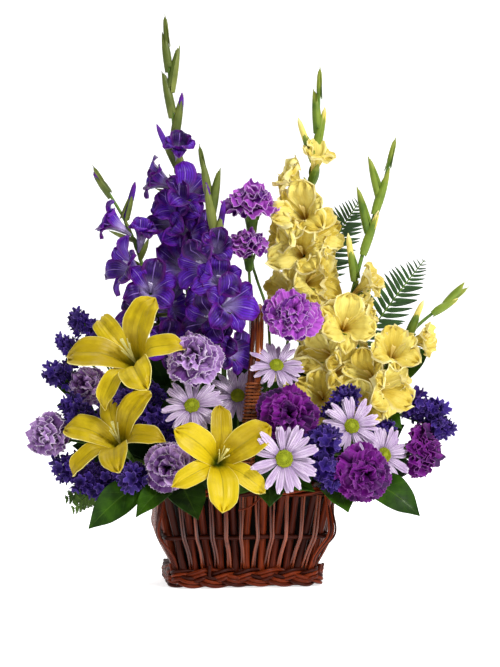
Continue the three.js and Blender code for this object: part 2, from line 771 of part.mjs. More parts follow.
/** A carnation facing +Z: three frilled layers of petals, one under the other. */
function carnation(name) {
  const { radius, base, claw, folds } = CARNATION;
  const random = randomFrom(seedOf(name));
  const layers = [
    { r: 0.36, z: 20, frill: 2.4 },
    { r: 0.28, z: 8, frill: 0 },
    { r: 0.72, z: 15, frill: 3.6 },
    { r: 0.5, z: 2, frill: 0 },
    { r: 1, z: 1, frill: 4.6 },
    { r: 0.4, z: -10, frill: 0 },
  ];
  const rings = layers.map(({ r, z, frill }, layer) =>
    Array.from({ length: folds }, (_, k) => {
      const turn = (2 * Math.PI * (k + (layer > 2 ? 0.5 : 0))) / folds;
      const fold = frill * (k % 2 ? 1 : -1) * (0.7 + 0.6 * random());
      const reach = radius * r + fold * 0.5;
      return new THREE.Vector3(reach * Math.cos(turn), reach * Math.sin(turn), z + fold);
    }),
  );
  const foot = Array.from({ length: folds }, (_, k) => {
    const turn = (2 * Math.PI * (k + 0.5)) / folds;
    return new THREE.Vector3(claw * Math.cos(turn), claw * Math.sin(turn), base);
  });
  return skin([[new THREE.Vector3(0, 0, 12)], ...rings, foot], { flip: (i) => i % 2 === 0 });
}

/** A daisy's ring of petals facing +Z, with the hole that its disc's neck fills. */
function daisyRays(name) {
  const { radius, hole, petals, thickness } = DAISY;
  const random = randomFrom(seedOf(name));
  const points = [];
  const triangles = [];
  const at = (turn, r, z) => points.push(new THREE.Vector3(r * Math.cos(turn), r * Math.sin(turn), z)) - 1;
  const step = (2 * Math.PI) / petals;
  const inner = [];
  const notches = [];
  for (let i = 0; i < petals; i++) {
    inner.push(at(i * step, hole, -0.6));
    notches.push(at(i * step, hole + 3.4, -0.4));
  }
  for (let i = 0; i < petals; i++) {
    const next = (i + 1) % petals;
    const lift = 5 + 5 * random();
    const length = radius * (0.9 + 0.12 * random());
    const middle = (i + 0.5) * step;
    const left = at(middle - 0.36 * step, length * 0.72, lift * 0.7);
    const right = at(middle + 0.36 * step, length * 0.72, lift * 0.7);
    const tip = at(middle, length, lift);
    triangles.push([inner[i], notches[i], notches[next]], [inner[i], notches[next], inner[next]]);
    triangles.push([notches[i], left, tip], [notches[i], tip, notches[next]], [notches[next], tip, right]);
  }
  return sheet(points, triangles, thickness);
}

/** One gladiolus floret facing +Z from its seat on the stem: a thin funnel with six waved petals. */
function floret(size, open, random, ruffle) {
  const { radius, length, notch, points } = FLORET;
  const rim = radius * size * Math.sqrt(open);
  const tall = length * size * (1.25 - 0.25 * open);
  const edge = Array.from({ length: points }, (_, k) => {
    const turn = (2 * Math.PI * k) / points;
    const reach = rim * (k % 2 ? notch : 1);
    const back = (k % 4 === 0 ? -7 : 1) * size * (k % 2 ? 0 : 1);
    const wave = ruffle * (random() - 0.5);
    return new THREE.Vector3(reach * Math.cos(turn), reach * Math.sin(turn), tall + back * open + wave);
  });
  const throat = [new THREE.Vector3(0, 0, tall * 0.4)];
  return skin([throat, edge, [new THREE.Vector3(0, 0, 0)]]);
}

/** A pointed bud or sheath from one point towards a direction. */
function bud(from, direction, length, radius) {
  const at = (share) => from.clone().addScaledVector(direction, share * length);
  return tube([at(0), at(0.4), at(1)], [radius * 0.5, radius, 0.6], 3);
}

/** A gladiolus spike: its stem, open florets with their sheaths, and the buds up to its tip. */
function gladiolus(name, { colour, route, florets, buds }) {
  const random = randomFrom(seedOf(name));
  const curve = new THREE.CatmullRomCurve3(route.map(vector));
  const seat = vector(route[0]);
  const deep = curve.getPoint(0).sub(curve.getTangent(0).multiplyScalar(FOAM.stemDepth));
  const above = curve.getPoints(6);
  seatedStems.push({ path: [deep, seat.clone().addScaledVector(curve.getTangent(0), 6)], radius: 4 });
  const path = [deep, ...above];
  const parts = [tube(path, path.map((_, i) => 4 - (2.2 * i) / (path.length - 1)), 4)];
  for (const [height, azimuth, elevation, size, open] of florets) {
    const at = heightOn(curve, height);
    const shape = floret(size, open, random, colour === "yellow" ? 7 : 3.5);
    shape.applyQuaternion(turned([azimuth, elevation], 60 * random()));
    parts.push(shape.translate(at.x, at.y, at.z));
    if (open < 0.6) parts.push(bud(at, facing([azimuth, (elevation + 60) / 2]), 30 * size, 5));
  }
  for (const [height, azimuth, elevation] of buds) {
    const length = THREE.MathUtils.clamp((route.at(-1)[2] - height) * 0.42 + 30, BUD.shortest, BUD.longest);
    parts.push(bud(heightOn(curve, height), facing([azimuth, elevation]), length, 4 + length * 0.04));
  }
  const end = curve.getPoint(1);
  parts.push(bud(end.clone().addScaledVector(curve.getTangent(1), -6), curve.getTangent(1), 26, 4.2));
  return joined(parts);
}

/** A daisy spray's green parts: one stem, and a branch with its disc for every head. */
function daisySpray({ seat, fork, heads }) {
  const { neck, disc } = DAISY;
  const middle = vector(fork);
  const trunk = stemRoute(seat, middle, middle.clone().sub(vector(seat)).normalize(), 2.4, { steps: 2 });
  const parts = [tube(trunk, 2.4, 5)];
  for (const { head, faces, size } of Object.values(heads)) {
    const axis = facing(faces);
    const at = (z) => vector(head).addScaledVector(axis, z * size);
    const base = at(-14);
    const bend = new THREE.CubicBezierCurve3(
      middle.clone().addScaledVector(axis, -4),
      middle.clone().lerp(base, 0.4),
      base.clone().addScaledVector(axis, -14),
      base,
    ).getPoints(2);
    const rings = [[-3, neck], [0.8, neck], [1.2, disc], [5.4, disc * 0.6]];
    parts.push(
      tube(
        [...bend, ...rings.map(([z]) => at(z))],
        [1.8, 1.8, 1.8, ...rings.map(([, r]) => r * size)],
        6,
      ),
    );
  }
  return joined(parts);
}

/** A cluster of papery cups round a small core: the cups stand out of it in turn. */
function cupCluster(centre, out, spread, random) {
  const { cups, core } = STATICE;
  const [{ side, over }] = framesAlong([centre, centre.clone().add(out)], new THREE.Vector3(0, 0.3, 1));
  const at = (turn, lean, reach) =>
    centre
      .clone()
      .addScaledVector(out, reach * Math.cos(lean))
      .addScaledVector(side, reach * Math.sin(lean) * Math.cos(turn))
      .addScaledVector(over, reach * Math.sin(lean) * Math.sin(turn));
  const rings = [0.75, 1.45, 2.2].map((lean, row) =>
    Array.from({ length: cups }, (_, k) => {
      const stands = (k + row) % 2 === 0;
      const reach = spread * (stands ? 0.9 + 0.3 * random() : core);
      return at((2 * Math.PI * k) / cups + row * 0.2, lean, reach);
    }),
  );
  return skin([[at(0, 0, spread)], ...rings, [at(0, Math.PI, spread * core)]]);
}

/** A statice spray: branches, each with a tight cluster of small papery cups. */
function statice(name, { seat, fork, sprigs }) {
  const random = randomFrom(seedOf(name));
  const middle = vector(fork);
  const trunk = stemRoute(seat, middle, middle.clone().sub(vector(seat)).normalize(), 1.9, { steps: 2 });
  const parts = [tube(trunk, 1.9, 4)];
  for (const [x, y, z, spread] of sprigs) {
    const centre = new THREE.Vector3(x, y, z);
    const out = centre.clone().sub(middle).normalize();
    parts.push(tube([middle.clone().addScaledVector(out, -2), centre], [1.6, 1.4], 3));
    parts.push(cupCluster(centre, out, spread, random));
  }
  return joined(parts);
}

/** A frond's blade: leaflets cut to the rib, both ways from its midrib. */
function frondBlade(path, reach, pairs, side) {
  const curve = new THREE.CatmullRomCurve3(path);
  const across = vector(side).normalize();
  const points = [];
  const triangles = [];
  const left = [];
  const right = [];
  const steps = pairs * 2;
  for (let i = 0; i <= steps; i++) {
    const at = curve.getPoint(i / steps);
    left.push(points.push(at.clone().addScaledVector(across, FROND.rib)) - 1);
    right.push(points.push(at.clone().addScaledVector(across, -FROND.rib)) - 1);
  }
  for (let i = 0; i < steps; i++) {
    triangles.push([left[i], right[i], right[i + 1]], [left[i], right[i + 1], left[i + 1]]);
    if (i % 2) continue;
    const share = (i + 1) / steps;
    const swell = Math.sin(Math.PI * (0.16 + share * 0.84)) ** 0.75;
    const length = reach * swell * (1 - share * 0.35) + 2;
    const along = curve.getTangent(share);
    for (const [edge, sign] of [[left, 1], [right, -1]]) {
      const tip = curve.getPoint(share).addScaledVector(across, sign * length);
      const k = points.push(tip.addScaledVector(along, length * 0.42)) - 1;
      triangles.push(sign > 0 ? [edge[i], edge[i + 1], k] : [edge[i + 1], edge[i], k]);
    }
  }
  return sheet(points, triangles, FROND.thickness);
}

/** A sword fern frond on its stalk. */
function frond({ route, begins, reach, side }) {
  const curve = new THREE.CatmullRomCurve3(route.map(vector));
  const out = curve.getTangent(0);
  const deep = curve.getPoint(0).addScaledVector(out, -FOAM.stemDepth);
  seatedStems.push({ path: [deep, curve.getPoint(0).addScaledVector(out, 6)], radius: FROND.stalk });
  const stalk = [deep, ...Array.from({ length: 4 }, (_, i) => curve.getPoint((i / 3) * (begins + 0.06)))];
  const along = Array.from({ length: 6 }, (_, i) => curve.getPoint(begins + (i / 5) * (1 - begins)));
  return joined([tube(stalk, FROND.stalk, 4), frondBlade(along, reach, FROND.pairs, side)]);
}

/** Leatherleaf: two small arching fronds on one stalk. */
function leatherleaf({ seat, fork, fronds }) {
  const middle = vector(fork);
  const trunk = stemRoute(seat, middle, middle.clone().sub(vector(seat)).normalize(), 1.6, { steps: 3 });
  const parts = [tube(trunk, 1.6, 4)];
  for (const { tip, reach, pairs } of fronds) {
    const end = vector(tip);
    const half = middle.clone().lerp(end, 0.5).add(new THREE.Vector3(0, 0, 8));
    const start = middle.clone().lerp(trunk.at(-2), 0.1);
    const side = end.clone().sub(start).cross(new THREE.Vector3(0, 1, 0.3));
    parts.push(frondBlade([start, half, end], reach, pairs, side));
  }
  return joined(parts);
}

/** A leafy stem: a woody stalk with broad pointed leaves. */
function leafyStem({ seat, spine, leaves }) {
  const through = spine.map(vector);
  const first = through[0];
  const trunk = stemRoute(seat, first, first.clone().sub(vector(seat)).normalize(), 1.8, { steps: 2 });
  const stalk = [...trunk, ...through.slice(1)];
  const parts = [tube(stalk, 1.8, 5)];
  for (const { base, tip, width, tilt } of leaves) {
    const [from, to] = [vector(base), vector(tip)];
    const along = to.clone().sub(from);
    const level = new THREE.Vector3(0, 0, 1).applyAxisAngle(new THREE.Vector3(1, 0, 0), radians(tilt));
    const across = along.clone().cross(level).normalize();
    const bulge = across.clone().cross(along).normalize().multiplyScalar(along.length() * 0.09);
    const nearest = stalk.reduce((best, p) => (p.distanceTo(from) < best.distanceTo(from) ? p : best));
    const shares = [0, 0.2, 0.5, 0.8, 1];
    const line = shares.map((s) => from.clone().lerp(to, s).addScaledVector(bulge, Math.sin(Math.PI * s)));
    parts.push(tube([nearest, from.clone().lerp(line[1], 0.4)], [1.3, 1.1], 3));
    parts.push(
      blade(line, {
        across,
        widths: [0, 0.78, 1, 0.6, 0].map((w) => w * width),
        thickness: 1.4,
        fold: 0.16,
      }),
    );
  }
  return joined(parts);
}

// ---------------------------------------------------------------- the whole

const arrangement = new THREE.Group();

function add(name, geometry, material) {
  const mesh = new THREE.Mesh(geometry, material);
  mesh.name = name;
  arrangement.add(mesh);
  return mesh;
}

function addBloom(name, geometry, material, { head, faces, roll = 0, size }) {
  const mesh = add(name, geometry, material);
  mesh.position.set(...head);
  mesh.quaternion.copy(turned(faces, roll));
  mesh.scale.setScalar(size);
}

add("basket_base", basketBase(), FINISH.willow);
add("basket_foot_braid", braidedRing(BASKET.foot, 45), FINISH.willow);
add("basket_side_rods", sideRods(), FINISH.willow);
add("basket_rim", braidedRing(BASKET.rim, 27), FINISH.willow);
add("basket_handle", hoopHandle(), FINISH.willow);
add("liner", liner(), FINISH.liner);

for (const [name, plan] of Object.entries(LILIES)) {
  addBloom(name + "_bloom", lily(name), FINISH.lily, plan);
  const cup = [[LILY.length * 0.34, 3], [-LILY.throat + 2 + GAP, 3.4]];
  add(name + "_stem", cuppedStem(plan, 3, cup), FINISH.stem);
}

for (const [name, plan] of Object.entries(CARNATIONS)) {
  const tone = name.includes("lilac") ? FINISH.lilac : name.includes("plum") ? FINISH.plum : FINISH.violet;
  addBloom(name + "_bloom", carnation(name), tone, plan);
  const cup = [[44, 2], [40, 4.6], [-CARNATION.base + GAP, 7.4]];
  add(name + "_stem", cuppedStem(plan, 2, cup), FINISH.stem);
}

for (const [name, spray] of Object.entries(DAISY_SPRAYS)) {
  add(name + "_stem", daisySpray(spray), FINISH.stem);
  for (const [head, plan] of Object.entries(spray.heads)) {
    addBloom(head + "_rays", daisyRays(head), FINISH.daisy, plan);
  }
}

for (const [name, plan] of Object.entries(SPIKES)) add(name, gladiolus(name, plan), FINISH[plan.colour]);
for (const [name, plan] of Object.entries(STATICE_SPRAYS)) add(name, statice(name, plan), FINISH.statice);
for (const [name, plan] of Object.entries(FRONDS)) add(name, frond(plan), FINISH.fern);
add("leatherleaf", leatherleaf(LEATHERLEAF), FINISH.fern);
for (const [name, plan] of Object.entries(LEAFY_STEMS)) add(name, leafyStem(plan), FINISH.leaf);

add("foam_block", foam(seatedStems), FINISH.foam);

export default arrangement;
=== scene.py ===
"""The looks of a flower basket arrangement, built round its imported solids.

Lengths are millimetres until a mesh is made. +X is the viewer's right, +Y the back and +Z up.
A direction is [azimuth, elevation] in degrees: azimuth 0 faces the viewer, 90 the viewer's right.
"""

import logging
import math
from dataclasses import dataclass, replace
from enum import Enum
from functools import lru_cache
from typing import Any, Callable, Sequence

import bpy
import numpy as np
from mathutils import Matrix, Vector


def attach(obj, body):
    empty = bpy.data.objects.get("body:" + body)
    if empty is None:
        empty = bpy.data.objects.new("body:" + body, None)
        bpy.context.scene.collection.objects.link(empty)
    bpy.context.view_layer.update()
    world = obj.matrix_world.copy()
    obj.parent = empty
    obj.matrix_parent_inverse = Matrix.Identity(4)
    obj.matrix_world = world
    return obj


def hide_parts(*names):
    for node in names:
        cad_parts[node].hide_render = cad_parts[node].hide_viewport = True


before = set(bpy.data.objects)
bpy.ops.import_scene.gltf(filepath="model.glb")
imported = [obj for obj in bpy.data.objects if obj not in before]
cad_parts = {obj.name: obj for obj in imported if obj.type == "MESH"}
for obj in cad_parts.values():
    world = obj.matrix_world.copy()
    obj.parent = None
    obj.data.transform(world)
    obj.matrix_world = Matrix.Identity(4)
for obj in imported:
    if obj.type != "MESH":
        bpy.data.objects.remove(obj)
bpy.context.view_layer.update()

log = logging.getLogger("flower_basket")

MM = 0.001
BODY = "root"
GOLDEN_ANGLE = math.pi * (3 - math.sqrt(5))
SHARP = math.radians(60)

Array = np.ndarray
Point = Sequence[float]
Draws = np.random.Generator


def new_object(name: str, data: bpy.types.ID) -> bpy.types.Object:
    """An object in the scene that holds some data."""
    made = bpy.data.objects.new(name, data)
    bpy.context.scene.collection.objects.link(made)
    return made


class Slot(Enum):
    """The record's material slots."""

    WILLOW = "willow"
    LINER = "liner"
    FOAM = "foam"
    LILY = "lily"
    PURPLE = "purple"
    YELLOW = "yellow"
    VIOLET = "violet"
    LILAC = "lilac"
    PLUM = "plum"
    DAISY = "daisy"
    STATICE = "statice"
    STEM = "stem"
    FERN = "fern"
    LEAF = "leaf"


# Directions and curves


def unit(vector: Array) -> Array:
    """A vector, or an array of them, at length 1."""
    vector = vec(vector)
    return vector / np.maximum(np.linalg.norm(vector, axis=-1, keepdims=True), 1e-9)


def vec(point: Point) -> Array:
    """A point as an array."""
    return np.asarray(point, float)


def facing(azimuth: float, elevation: float) -> Array:
    """The unit vector of a direction given in degrees."""
    a, e = math.radians(azimuth), math.radians(elevation)
    return np.array([math.sin(a) * math.cos(e), -math.cos(a) * math.cos(e), math.sin(e)])


def bloom_axes(out: Array, roll: float = 0.0) -> Array:
    """A bloom's own axes as columns: right, up and out.

    Args:
        out: the unit vector that the bloom faces.
        roll: its turn clockwise, in degrees.

    Returns:
        A 3 by 3 matrix.
    """
    up = unit(np.array([0.0, 0.0, 1.0]) - out * out[2])
    right = np.cross(up, out)
    turn = -math.radians(roll)
    cosine, sine = math.cos(turn), math.sin(turn)
    return np.column_stack([right * cosine + up * sine, up * cosine - right * sine, out])


@dataclass
class Route:
    """A smooth curve through points, without overshoot where they are uneven."""

    points: Sequence[Point]

    def at(self, share: float) -> Array:
        """The point at a share of the way, 0 to 1, with each span counted alike."""
        p = vec(self.points)
        place = min(max(share, 0.0), 1.0) * (len(p) - 1)
        i = min(int(place), len(p) - 2)
        t = place - i
        p1, p2 = p[i], p[i + 1]
        p0 = p[i - 1] if i > 0 else 2 * p1 - p2
        p3 = p[i + 2] if i + 2 < len(p) else 2 * p2 - p1
        d0, d1, d2 = (max(math.sqrt(np.linalg.norm(b - a)), 1e-3) for a, b in ((p0, p1), (p1, p2), (p2, p3)))
        t1 = ((p1 - p0) / d0 - (p2 - p0) / (d0 + d1) + (p2 - p1) / d1) * d1
        t2 = ((p2 - p1) / d1 - (p3 - p1) / (d1 + d2) + (p3 - p2) / d2) * d1
        c2 = -3 * p1 + 3 * p2 - 2 * t1 - t2
        c3 = 2 * p1 - 2 * p2 + t1 + t2
        return p1 + t * t1 + t * t * c2 + t * t * t * c3

    def tangent(self, share: float) -> Array:
        """The unit vector along the curve."""
        return unit(self.at(min(share + 0.01, 1)) - self.at(max(share - 0.01, 0)))

    def sample(self, count: int) -> Array:
        """Points along the curve, its ends among them."""
        return np.array([self.at(s) for s in np.linspace(0, 1, count)])

    def share_at_height(self, height: float) -> float:
        """The share at which a rising curve reaches a height."""
        low, high = 0.0, 1.0
        for _ in range(24):
            middle = (low + high) / 2
            low, high = (middle, high) if self.at(middle)[2] < height else (low, middle)
        return low


def bezier(a: Array, b: Array, c: Array, d: Array, count: int) -> Array:
    """Points of a cubic curve between a and d."""
    t = np.linspace(0, 1, count)[:, None]
    return a * (1 - t) ** 3 + 3 * b * t * (1 - t) ** 2 + 3 * c * t**2 * (1 - t) + d * t**3


def eased(shares: Sequence[float], values: Sequence[float]) -> Callable[[Array], Array]:
    """A smooth function through values given at shares.

    Args:
        shares: where the values hold, rising from 0.
        values: the values there.

    Returns:
        A function of an array of shares.
    """
    table = Route([(s, v, 0.0) for s, v in zip(shares, values)]).sample(120)
    return lambda at: np.interp(at, table[:, 0], table[:, 1])


def smooth_between(low: float, high: float, value: Array) -> Array:
    """0 below low, 1 above high and an S between."""
    t = np.clip((value - low) / (high - low), 0, 1)
    return t * t * (3 - 2 * t)


# Shapes


class Shape:
    """Points and faces that grow into one mesh, with a place on each petal and a tint for each."""

    def __init__(self) -> None:
        """Starts with nothing in it."""
        self.pieces: list[tuple[Array, Array, Array, Array]] = []
        self.count = 0

    def add(self, points: Array, faces: Array, places: Array, tint: float) -> None:
        """Adds a closed piece.

        Args:
            points: n by 3.
            faces: m by 4, and a face whose last two points are the same is a triangle.
            places: n by 2: how far across and how far along each point lies.
            tint: 0 to 1, for its own shade.
        """
        numbers = np.asarray(faces, np.int32) + self.count
        self.pieces.append((points, numbers, places, np.full(len(points), tint)))
        self.count += len(points)

    def put(self, other: "Shape", axes: Array, origin: Array, size: float = 1.0) -> None:
        """Adds another shape, turned by its axes, scaled and moved to its origin."""
        for points, faces, places, tints in other.pieces:
            self.pieces.append((points * size @ axes.T + origin, faces + self.count, places, tints))
        self.count += other.count

    def mesh(self, name: str, scale: float = MM) -> bpy.types.Mesh:
        """Makes the mesh.

        Args:
            name: the mesh's name.
            scale: metres to a unit of the points.

        Returns:
            The mesh, with a UV map and a tint attribute.
        """
        points, quads, places, tints = (np.concatenate(column) for column in zip(*self.pieces))
        is_triangle = quads[:, 2] == quads[:, 3]
        squares, triangles = quads[~is_triangle], quads[is_triangle][:, :3]
        corners = np.concatenate([squares.ravel(), triangles.ravel()]).astype(np.int32)
        starts = np.concatenate(
            [np.arange(len(squares)) * 4, len(squares) * 4 + np.arange(len(triangles)) * 3]
        ).astype(np.int32)
        mesh = bpy.data.meshes.new(name)
        mesh.vertices.add(len(points))
        mesh.vertices.foreach_set("co", (points * scale).ravel().astype(np.float32))
        mesh.loops.add(len(corners))
        mesh.loops.foreach_set("vertex_index", corners)
        mesh.polygons.add(len(starts))
        mesh.polygons.foreach_set("loop_start", starts)
        mesh.polygons.foreach_set("use_smooth", np.ones(len(starts), bool))
        layer = mesh.uv_layers.new(name="UVMap")
        layer.data.foreach_set("uv", places[corners].ravel().astype(np.float32))
        tint = mesh.attributes.new("tint", "FLOAT", "POINT")
        tint.data.foreach_set("value", tints.astype(np.float32))
        mesh.update(calc_edges=True)
        mesh.validate()
        mesh.set_sharp_from_angle(angle=SHARP)
        return mesh


@lru_cache(maxsize=None)
def shell_faces(rows: int, columns: int) -> Array:
    """The faces of a thin closed shell over a grid: its front, its back and the wall between."""
    index = np.arange(rows * columns).reshape(rows, columns)
    back = rows * columns
    a, b, c, d = index[:-1, :-1], index[1:, :-1], index[1:, 1:], index[:-1, 1:]
    front = np.stack([a, b, c, d], -1).reshape(-1, 4)
    behind = np.stack([a, d, c, b], -1).reshape(-1, 4) + back
    border = np.concatenate([index[:, 0], index[-1, 1:], index[-2::-1, -1], index[0, -2:0:-1]])
    after = np.roll(border, -1)
    wall = np.stack([after, border, border + back, after + back], -1)
    return np.concatenate([front, behind, wall])


@lru_cache(maxsize=None)
def spindle_faces(rings: int, sides: int) -> Array:
    """The faces of a closed tube of rings, whose two end points come after them."""
    index = np.arange(rings * sides).reshape(rings, sides)
    beside = np.roll(index, -1, axis=1)
    walls = np.stack([index[:-1], beside[:-1], beside[1:], index[1:]], -1).reshape(-1, 4)
    first, last = (np.full(sides, rings * sides + end) for end in (0, 1))
    low = np.stack([index[0], first, beside[0], beside[0]], -1)
    high = np.stack([index[-1], beside[-1], last, last], -1)
    return np.concatenate([walls, low, high])


def grow_shell(shape: Shape, grid: Array, thickness: float, tint: float, ruffle: Array | None = None) -> None:
    """Adds a thin closed shell, such as a petal or a leaf.

    Args:
        shape: what it is added to.
        grid: rows by columns by 3, its middle surface; its front faces along rows cross columns.
        thickness: millimetres.
        tint: 0 to 1.
        ruffle: rows by columns: how far each point is pushed towards the front.
    """
    normal = unit(np.cross(np.gradient(grid, axis=0), np.gradient(grid, axis=1)))
    if ruffle is not None:
        grid = grid + normal * ruffle[..., None]
        normal = unit(np.cross(np.gradient(grid, axis=0), np.gradient(grid, axis=1)))
    rows, columns = grid.shape[:2]
    half = normal * thickness / 2
    across, along = np.meshgrid(np.linspace(0, 1, columns), np.linspace(0, 1, rows))
    places = np.stack([across, along], -1).reshape(-1, 2)
    points = np.concatenate([(grid + half).reshape(-1, 3), (grid - half).reshape(-1, 3)])
    shape.add(points, shell_faces(rows, columns), np.concatenate([places, places]), tint)


def grow_spindle(shape: Shape, centres: Array, radii: Array, tint: float, sides: int = 8, flat: float = 1.0,
                 start: float = 0.0) -> None:
    """Adds a closed tube that narrows to its ends, such as a bud.

    Args:
        shape: what it is added to.
        centres: the points of its middle line.
        radii: its radius at each.
        tint: 0 to 1.
        sides: how many sides it has.
        flat: its thickness over its width.
        start: how far along a petal its base is coloured as.
    """
    along = unit(np.gradient(centres, axis=0))
    side = unit(np.cross(along, [0.3, 1.0, 0.2]))
    over = np.cross(along, side)
    turn = np.linspace(0, 2 * math.pi, sides, endpoint=False)
    ring = side[:, None] * np.cos(turn)[None, :, None] + over[:, None] * np.sin(turn)[None, :, None] * flat
    points = (centres[:, None] + ring * radii[:, None, None]).reshape(-1, 3)
    rings = len(centres)
    across = np.tile(np.abs(np.linspace(-1, 1, sides)), rings)
    places = np.stack([across, np.repeat(np.linspace(start, 1, rings), sides)], -1)
    places = np.concatenate([places, [[0.5, start], [0.5, 1.0]]])
    shape.add(np.concatenate([points, centres[:1], centres[-1:]]), spindle_faces(rings, sides), places, tint)


@dataclass(frozen=True)
class Petal:
    """A petal's outline and bend. Lists run from its base to its tip.

    Attributes:
        profile: (distance from the bloom's axis, height along it) of its middle line.
        shares: where along it each half width in widths holds.
        wrap: how far it hugs the axis as a funnel does: 1 fully, 0 not at all.
        open_out: how much of that is left at its tip.
        cup: how far its edges stand up, as a share of its half width.
        ruffle: how far its edges wave, with waves full waves across it.
        frill: how much of that is kept to its rim: 0 none, 1 all.
        toothed: how deep the teeth at its tip are, as a share of its length.
        round_tip: how much shorter it is at its sides than at its middle.
    """

    profile: tuple[tuple[float, float], ...]
    shares: tuple[float, ...]
    widths: tuple[float, ...]
    wrap: float = 0.6
    open_out: float = 1.0
    cup: float = 0.0
    ruffle: float = 0.0
    frill: float = 0.0
    waves: float = 2.0
    toothed: float = 0.0
    round_tip: float = 0.0
    crease: float = 0.0
    thickness: float = 0.7
    rows: int = 9
    columns: int = 9

    def grow(self, shape: Shape, turn: float, random: Draws, size: float = 1.0, lift: float = 0.0) -> None:
        """Adds one petal to a bloom that faces +Z.

        Args:
            shape: the bloom.
            turn: where the petal stands round the axis, in radians.
            random: draws its own waves and shade.
            size: its scale.
            lift: how far it stands above its layer, in millimetres.
        """
        steps = np.linspace(0, 1, len(self.profile))
        radius, height = (eased(steps, [point[k] for point in self.profile]) for k in (0, 1))
        along = (np.linspace(0, 1, self.rows) ** 0.85)[:, None]
        across = np.linspace(-1, 1, self.columns)
        wide = np.maximum(eased(self.shares, self.widths)(along), 0.15)
        share = along * (1 - self.round_tip * across**2 - self.toothed * (np.arange(self.columns) % 2))
        reach, rise = radius(share), height(share)
        hug = self.wrap * (1 - share * (1 - self.open_out))
        bend = np.maximum(reach, 1.2) / np.maximum(hug, 0.05)
        angle = wide * across / bend
        out = reach - bend + bend * np.cos(angle)
        off = bend * np.sin(angle)
        cosine, sine = math.cos(turn), math.sin(turn)
        lifted = rise + lift * smooth_between(0.1, 0.6, share)
        grid = np.stack([out * cosine - off * sine, out * sine + off * cosine, lifted], -1)
        phase, second = random.uniform(0, 2 * math.pi, 2)
        waves = math.pi * self.waves
        wave = np.sin(waves * across + phase) + 0.3 * np.sin(waves * 2.1 * across + second)
        along_wave = np.sin(waves * 1.3 * along * 2 + second) * np.sign(across)
        grown = smooth_between(0.25, 1.0, along)
        kept = 1 - self.frill * (1 - np.maximum(across**2, smooth_between(0.72, 1.0, along)))
        pushed = self.ruffle * grown * (0.62 * wave * kept + 0.5 * along_wave * np.abs(across) ** 1.5)
        pushed = pushed + self.cup * wide * across**2 * grown
        pushed = pushed - self.crease * np.exp(-((across / 0.16) ** 2)) * np.sin(math.pi * along)
        grow_shell(shape, grid * size, self.thickness, random.random(), pushed * size)


# Shader and geometry nodes


def operator(operation: str, swapped: bool = False) -> Callable[..., "Wire"]:
    """A method that adds one Math node, swapped where the wire is the second number."""

    def method(wire: "Wire", other: Any = 0.0) -> "Wire":
        """Adds the node."""
        first, second = (other, wire) if swapped else (wire, other)
        return wire.board.node("Math", {"operation": operation}, {0: first, 1: second})

    return method


class Wire:
    """A socket with arithmetic: an expression on wires adds its Math nodes."""

    def __init__(self, board: "Board", socket: bpy.types.NodeSocket) -> None:
        """Wraps a socket of a board's tree."""
        self.board = board
        self.socket = socket

    __add__ = __radd__ = operator("ADD")
    __sub__ = operator("SUBTRACT")
    __rsub__ = operator("SUBTRACT", swapped=True)
    __mul__ = __rmul__ = operator("MULTIPLY")
    __truediv__ = operator("DIVIDE")
    __pow__ = operator("POWER")
    __abs__ = operator("ABSOLUTE")
    sine = operator("SINE")
    cosine = operator("COSINE")
    least = operator("MINIMUM")
    most = operator("MAXIMUM")

    def step(self, low: float, high: float) -> "Wire":
        """0 below low, 1 above high and an S between; the two may stand the other way round."""
        return self.board.node(
            "MapRange", {"interpolation_type": "SMOOTHSTEP"},
            {"Value": self, "From Min": low, "From Max": high}
        )


class Board:
    """A node tree under construction."""

    def __init__(self, tree: bpy.types.NodeTree, prefix: str) -> None:
        """Wraps a tree whose node types start with prefix."""
        self.tree = tree
        self.prefix = prefix

    def node(self, kind: str, settings: dict[str, Any] | None = None, inputs: dict[Any, Any] | None = None,
             output: int | str = 0) -> Wire:
        """Adds a node.

        Args:
            kind: its type, without the tree's own prefix unless it has another.
            settings: its properties, set before its sockets.
            inputs: values or wires by socket name or number.
            output: which output to hand back.

        Returns:
            The output as a wire.
        """
        shared = kind in ("Math", "MapRange", "CombineXYZ", "SeparateXYZ", "Mix")
        prefix = "" if "Node" in kind else "ShaderNode" if shared else self.prefix
        made = self.tree.nodes.new(prefix + kind)
        for key, value in (settings or {}).items():
            setattr(made, key, value)
        for key, value in (inputs or {}).items():
            socket = made.inputs[key]
            if isinstance(value, Wire):
                self.tree.links.new(value.socket, socket)
            elif value is not None:
                socket.default_value = value
        return Wire(self, made.outputs[output])

    def vector(self, x: Any, y: Any, z: Any) -> Wire:
        """A vector from its three parts."""
        return self.node("CombineXYZ", None, {0: x, 1: y, 2: z})

    def mix(self, factor: Any, first: Any, second: Any) -> Wire:
        """The first colour where the factor is 0 and the second where it is 1; a text is a colour's code."""
        first, second = (tone(colour) if isinstance(colour, str) else colour for colour in (first, second))
        return self.node("Mix", {"data_type": "RGBA"}, {0: factor, 6: first, 7: second}, 2)


def tone(code: str) -> tuple[float, float, float, float]:
    """A colour written as six hexadecimal digits, as linear light."""
    parts = [int(code[i:i + 2], 16) / 255 for i in (0, 2, 4)]
    light = [p / 12.92 if p <= 0.04045 else ((p + 0.055) / 1.055) ** 2.4 for p in parts]
    return (*light, 1.0)


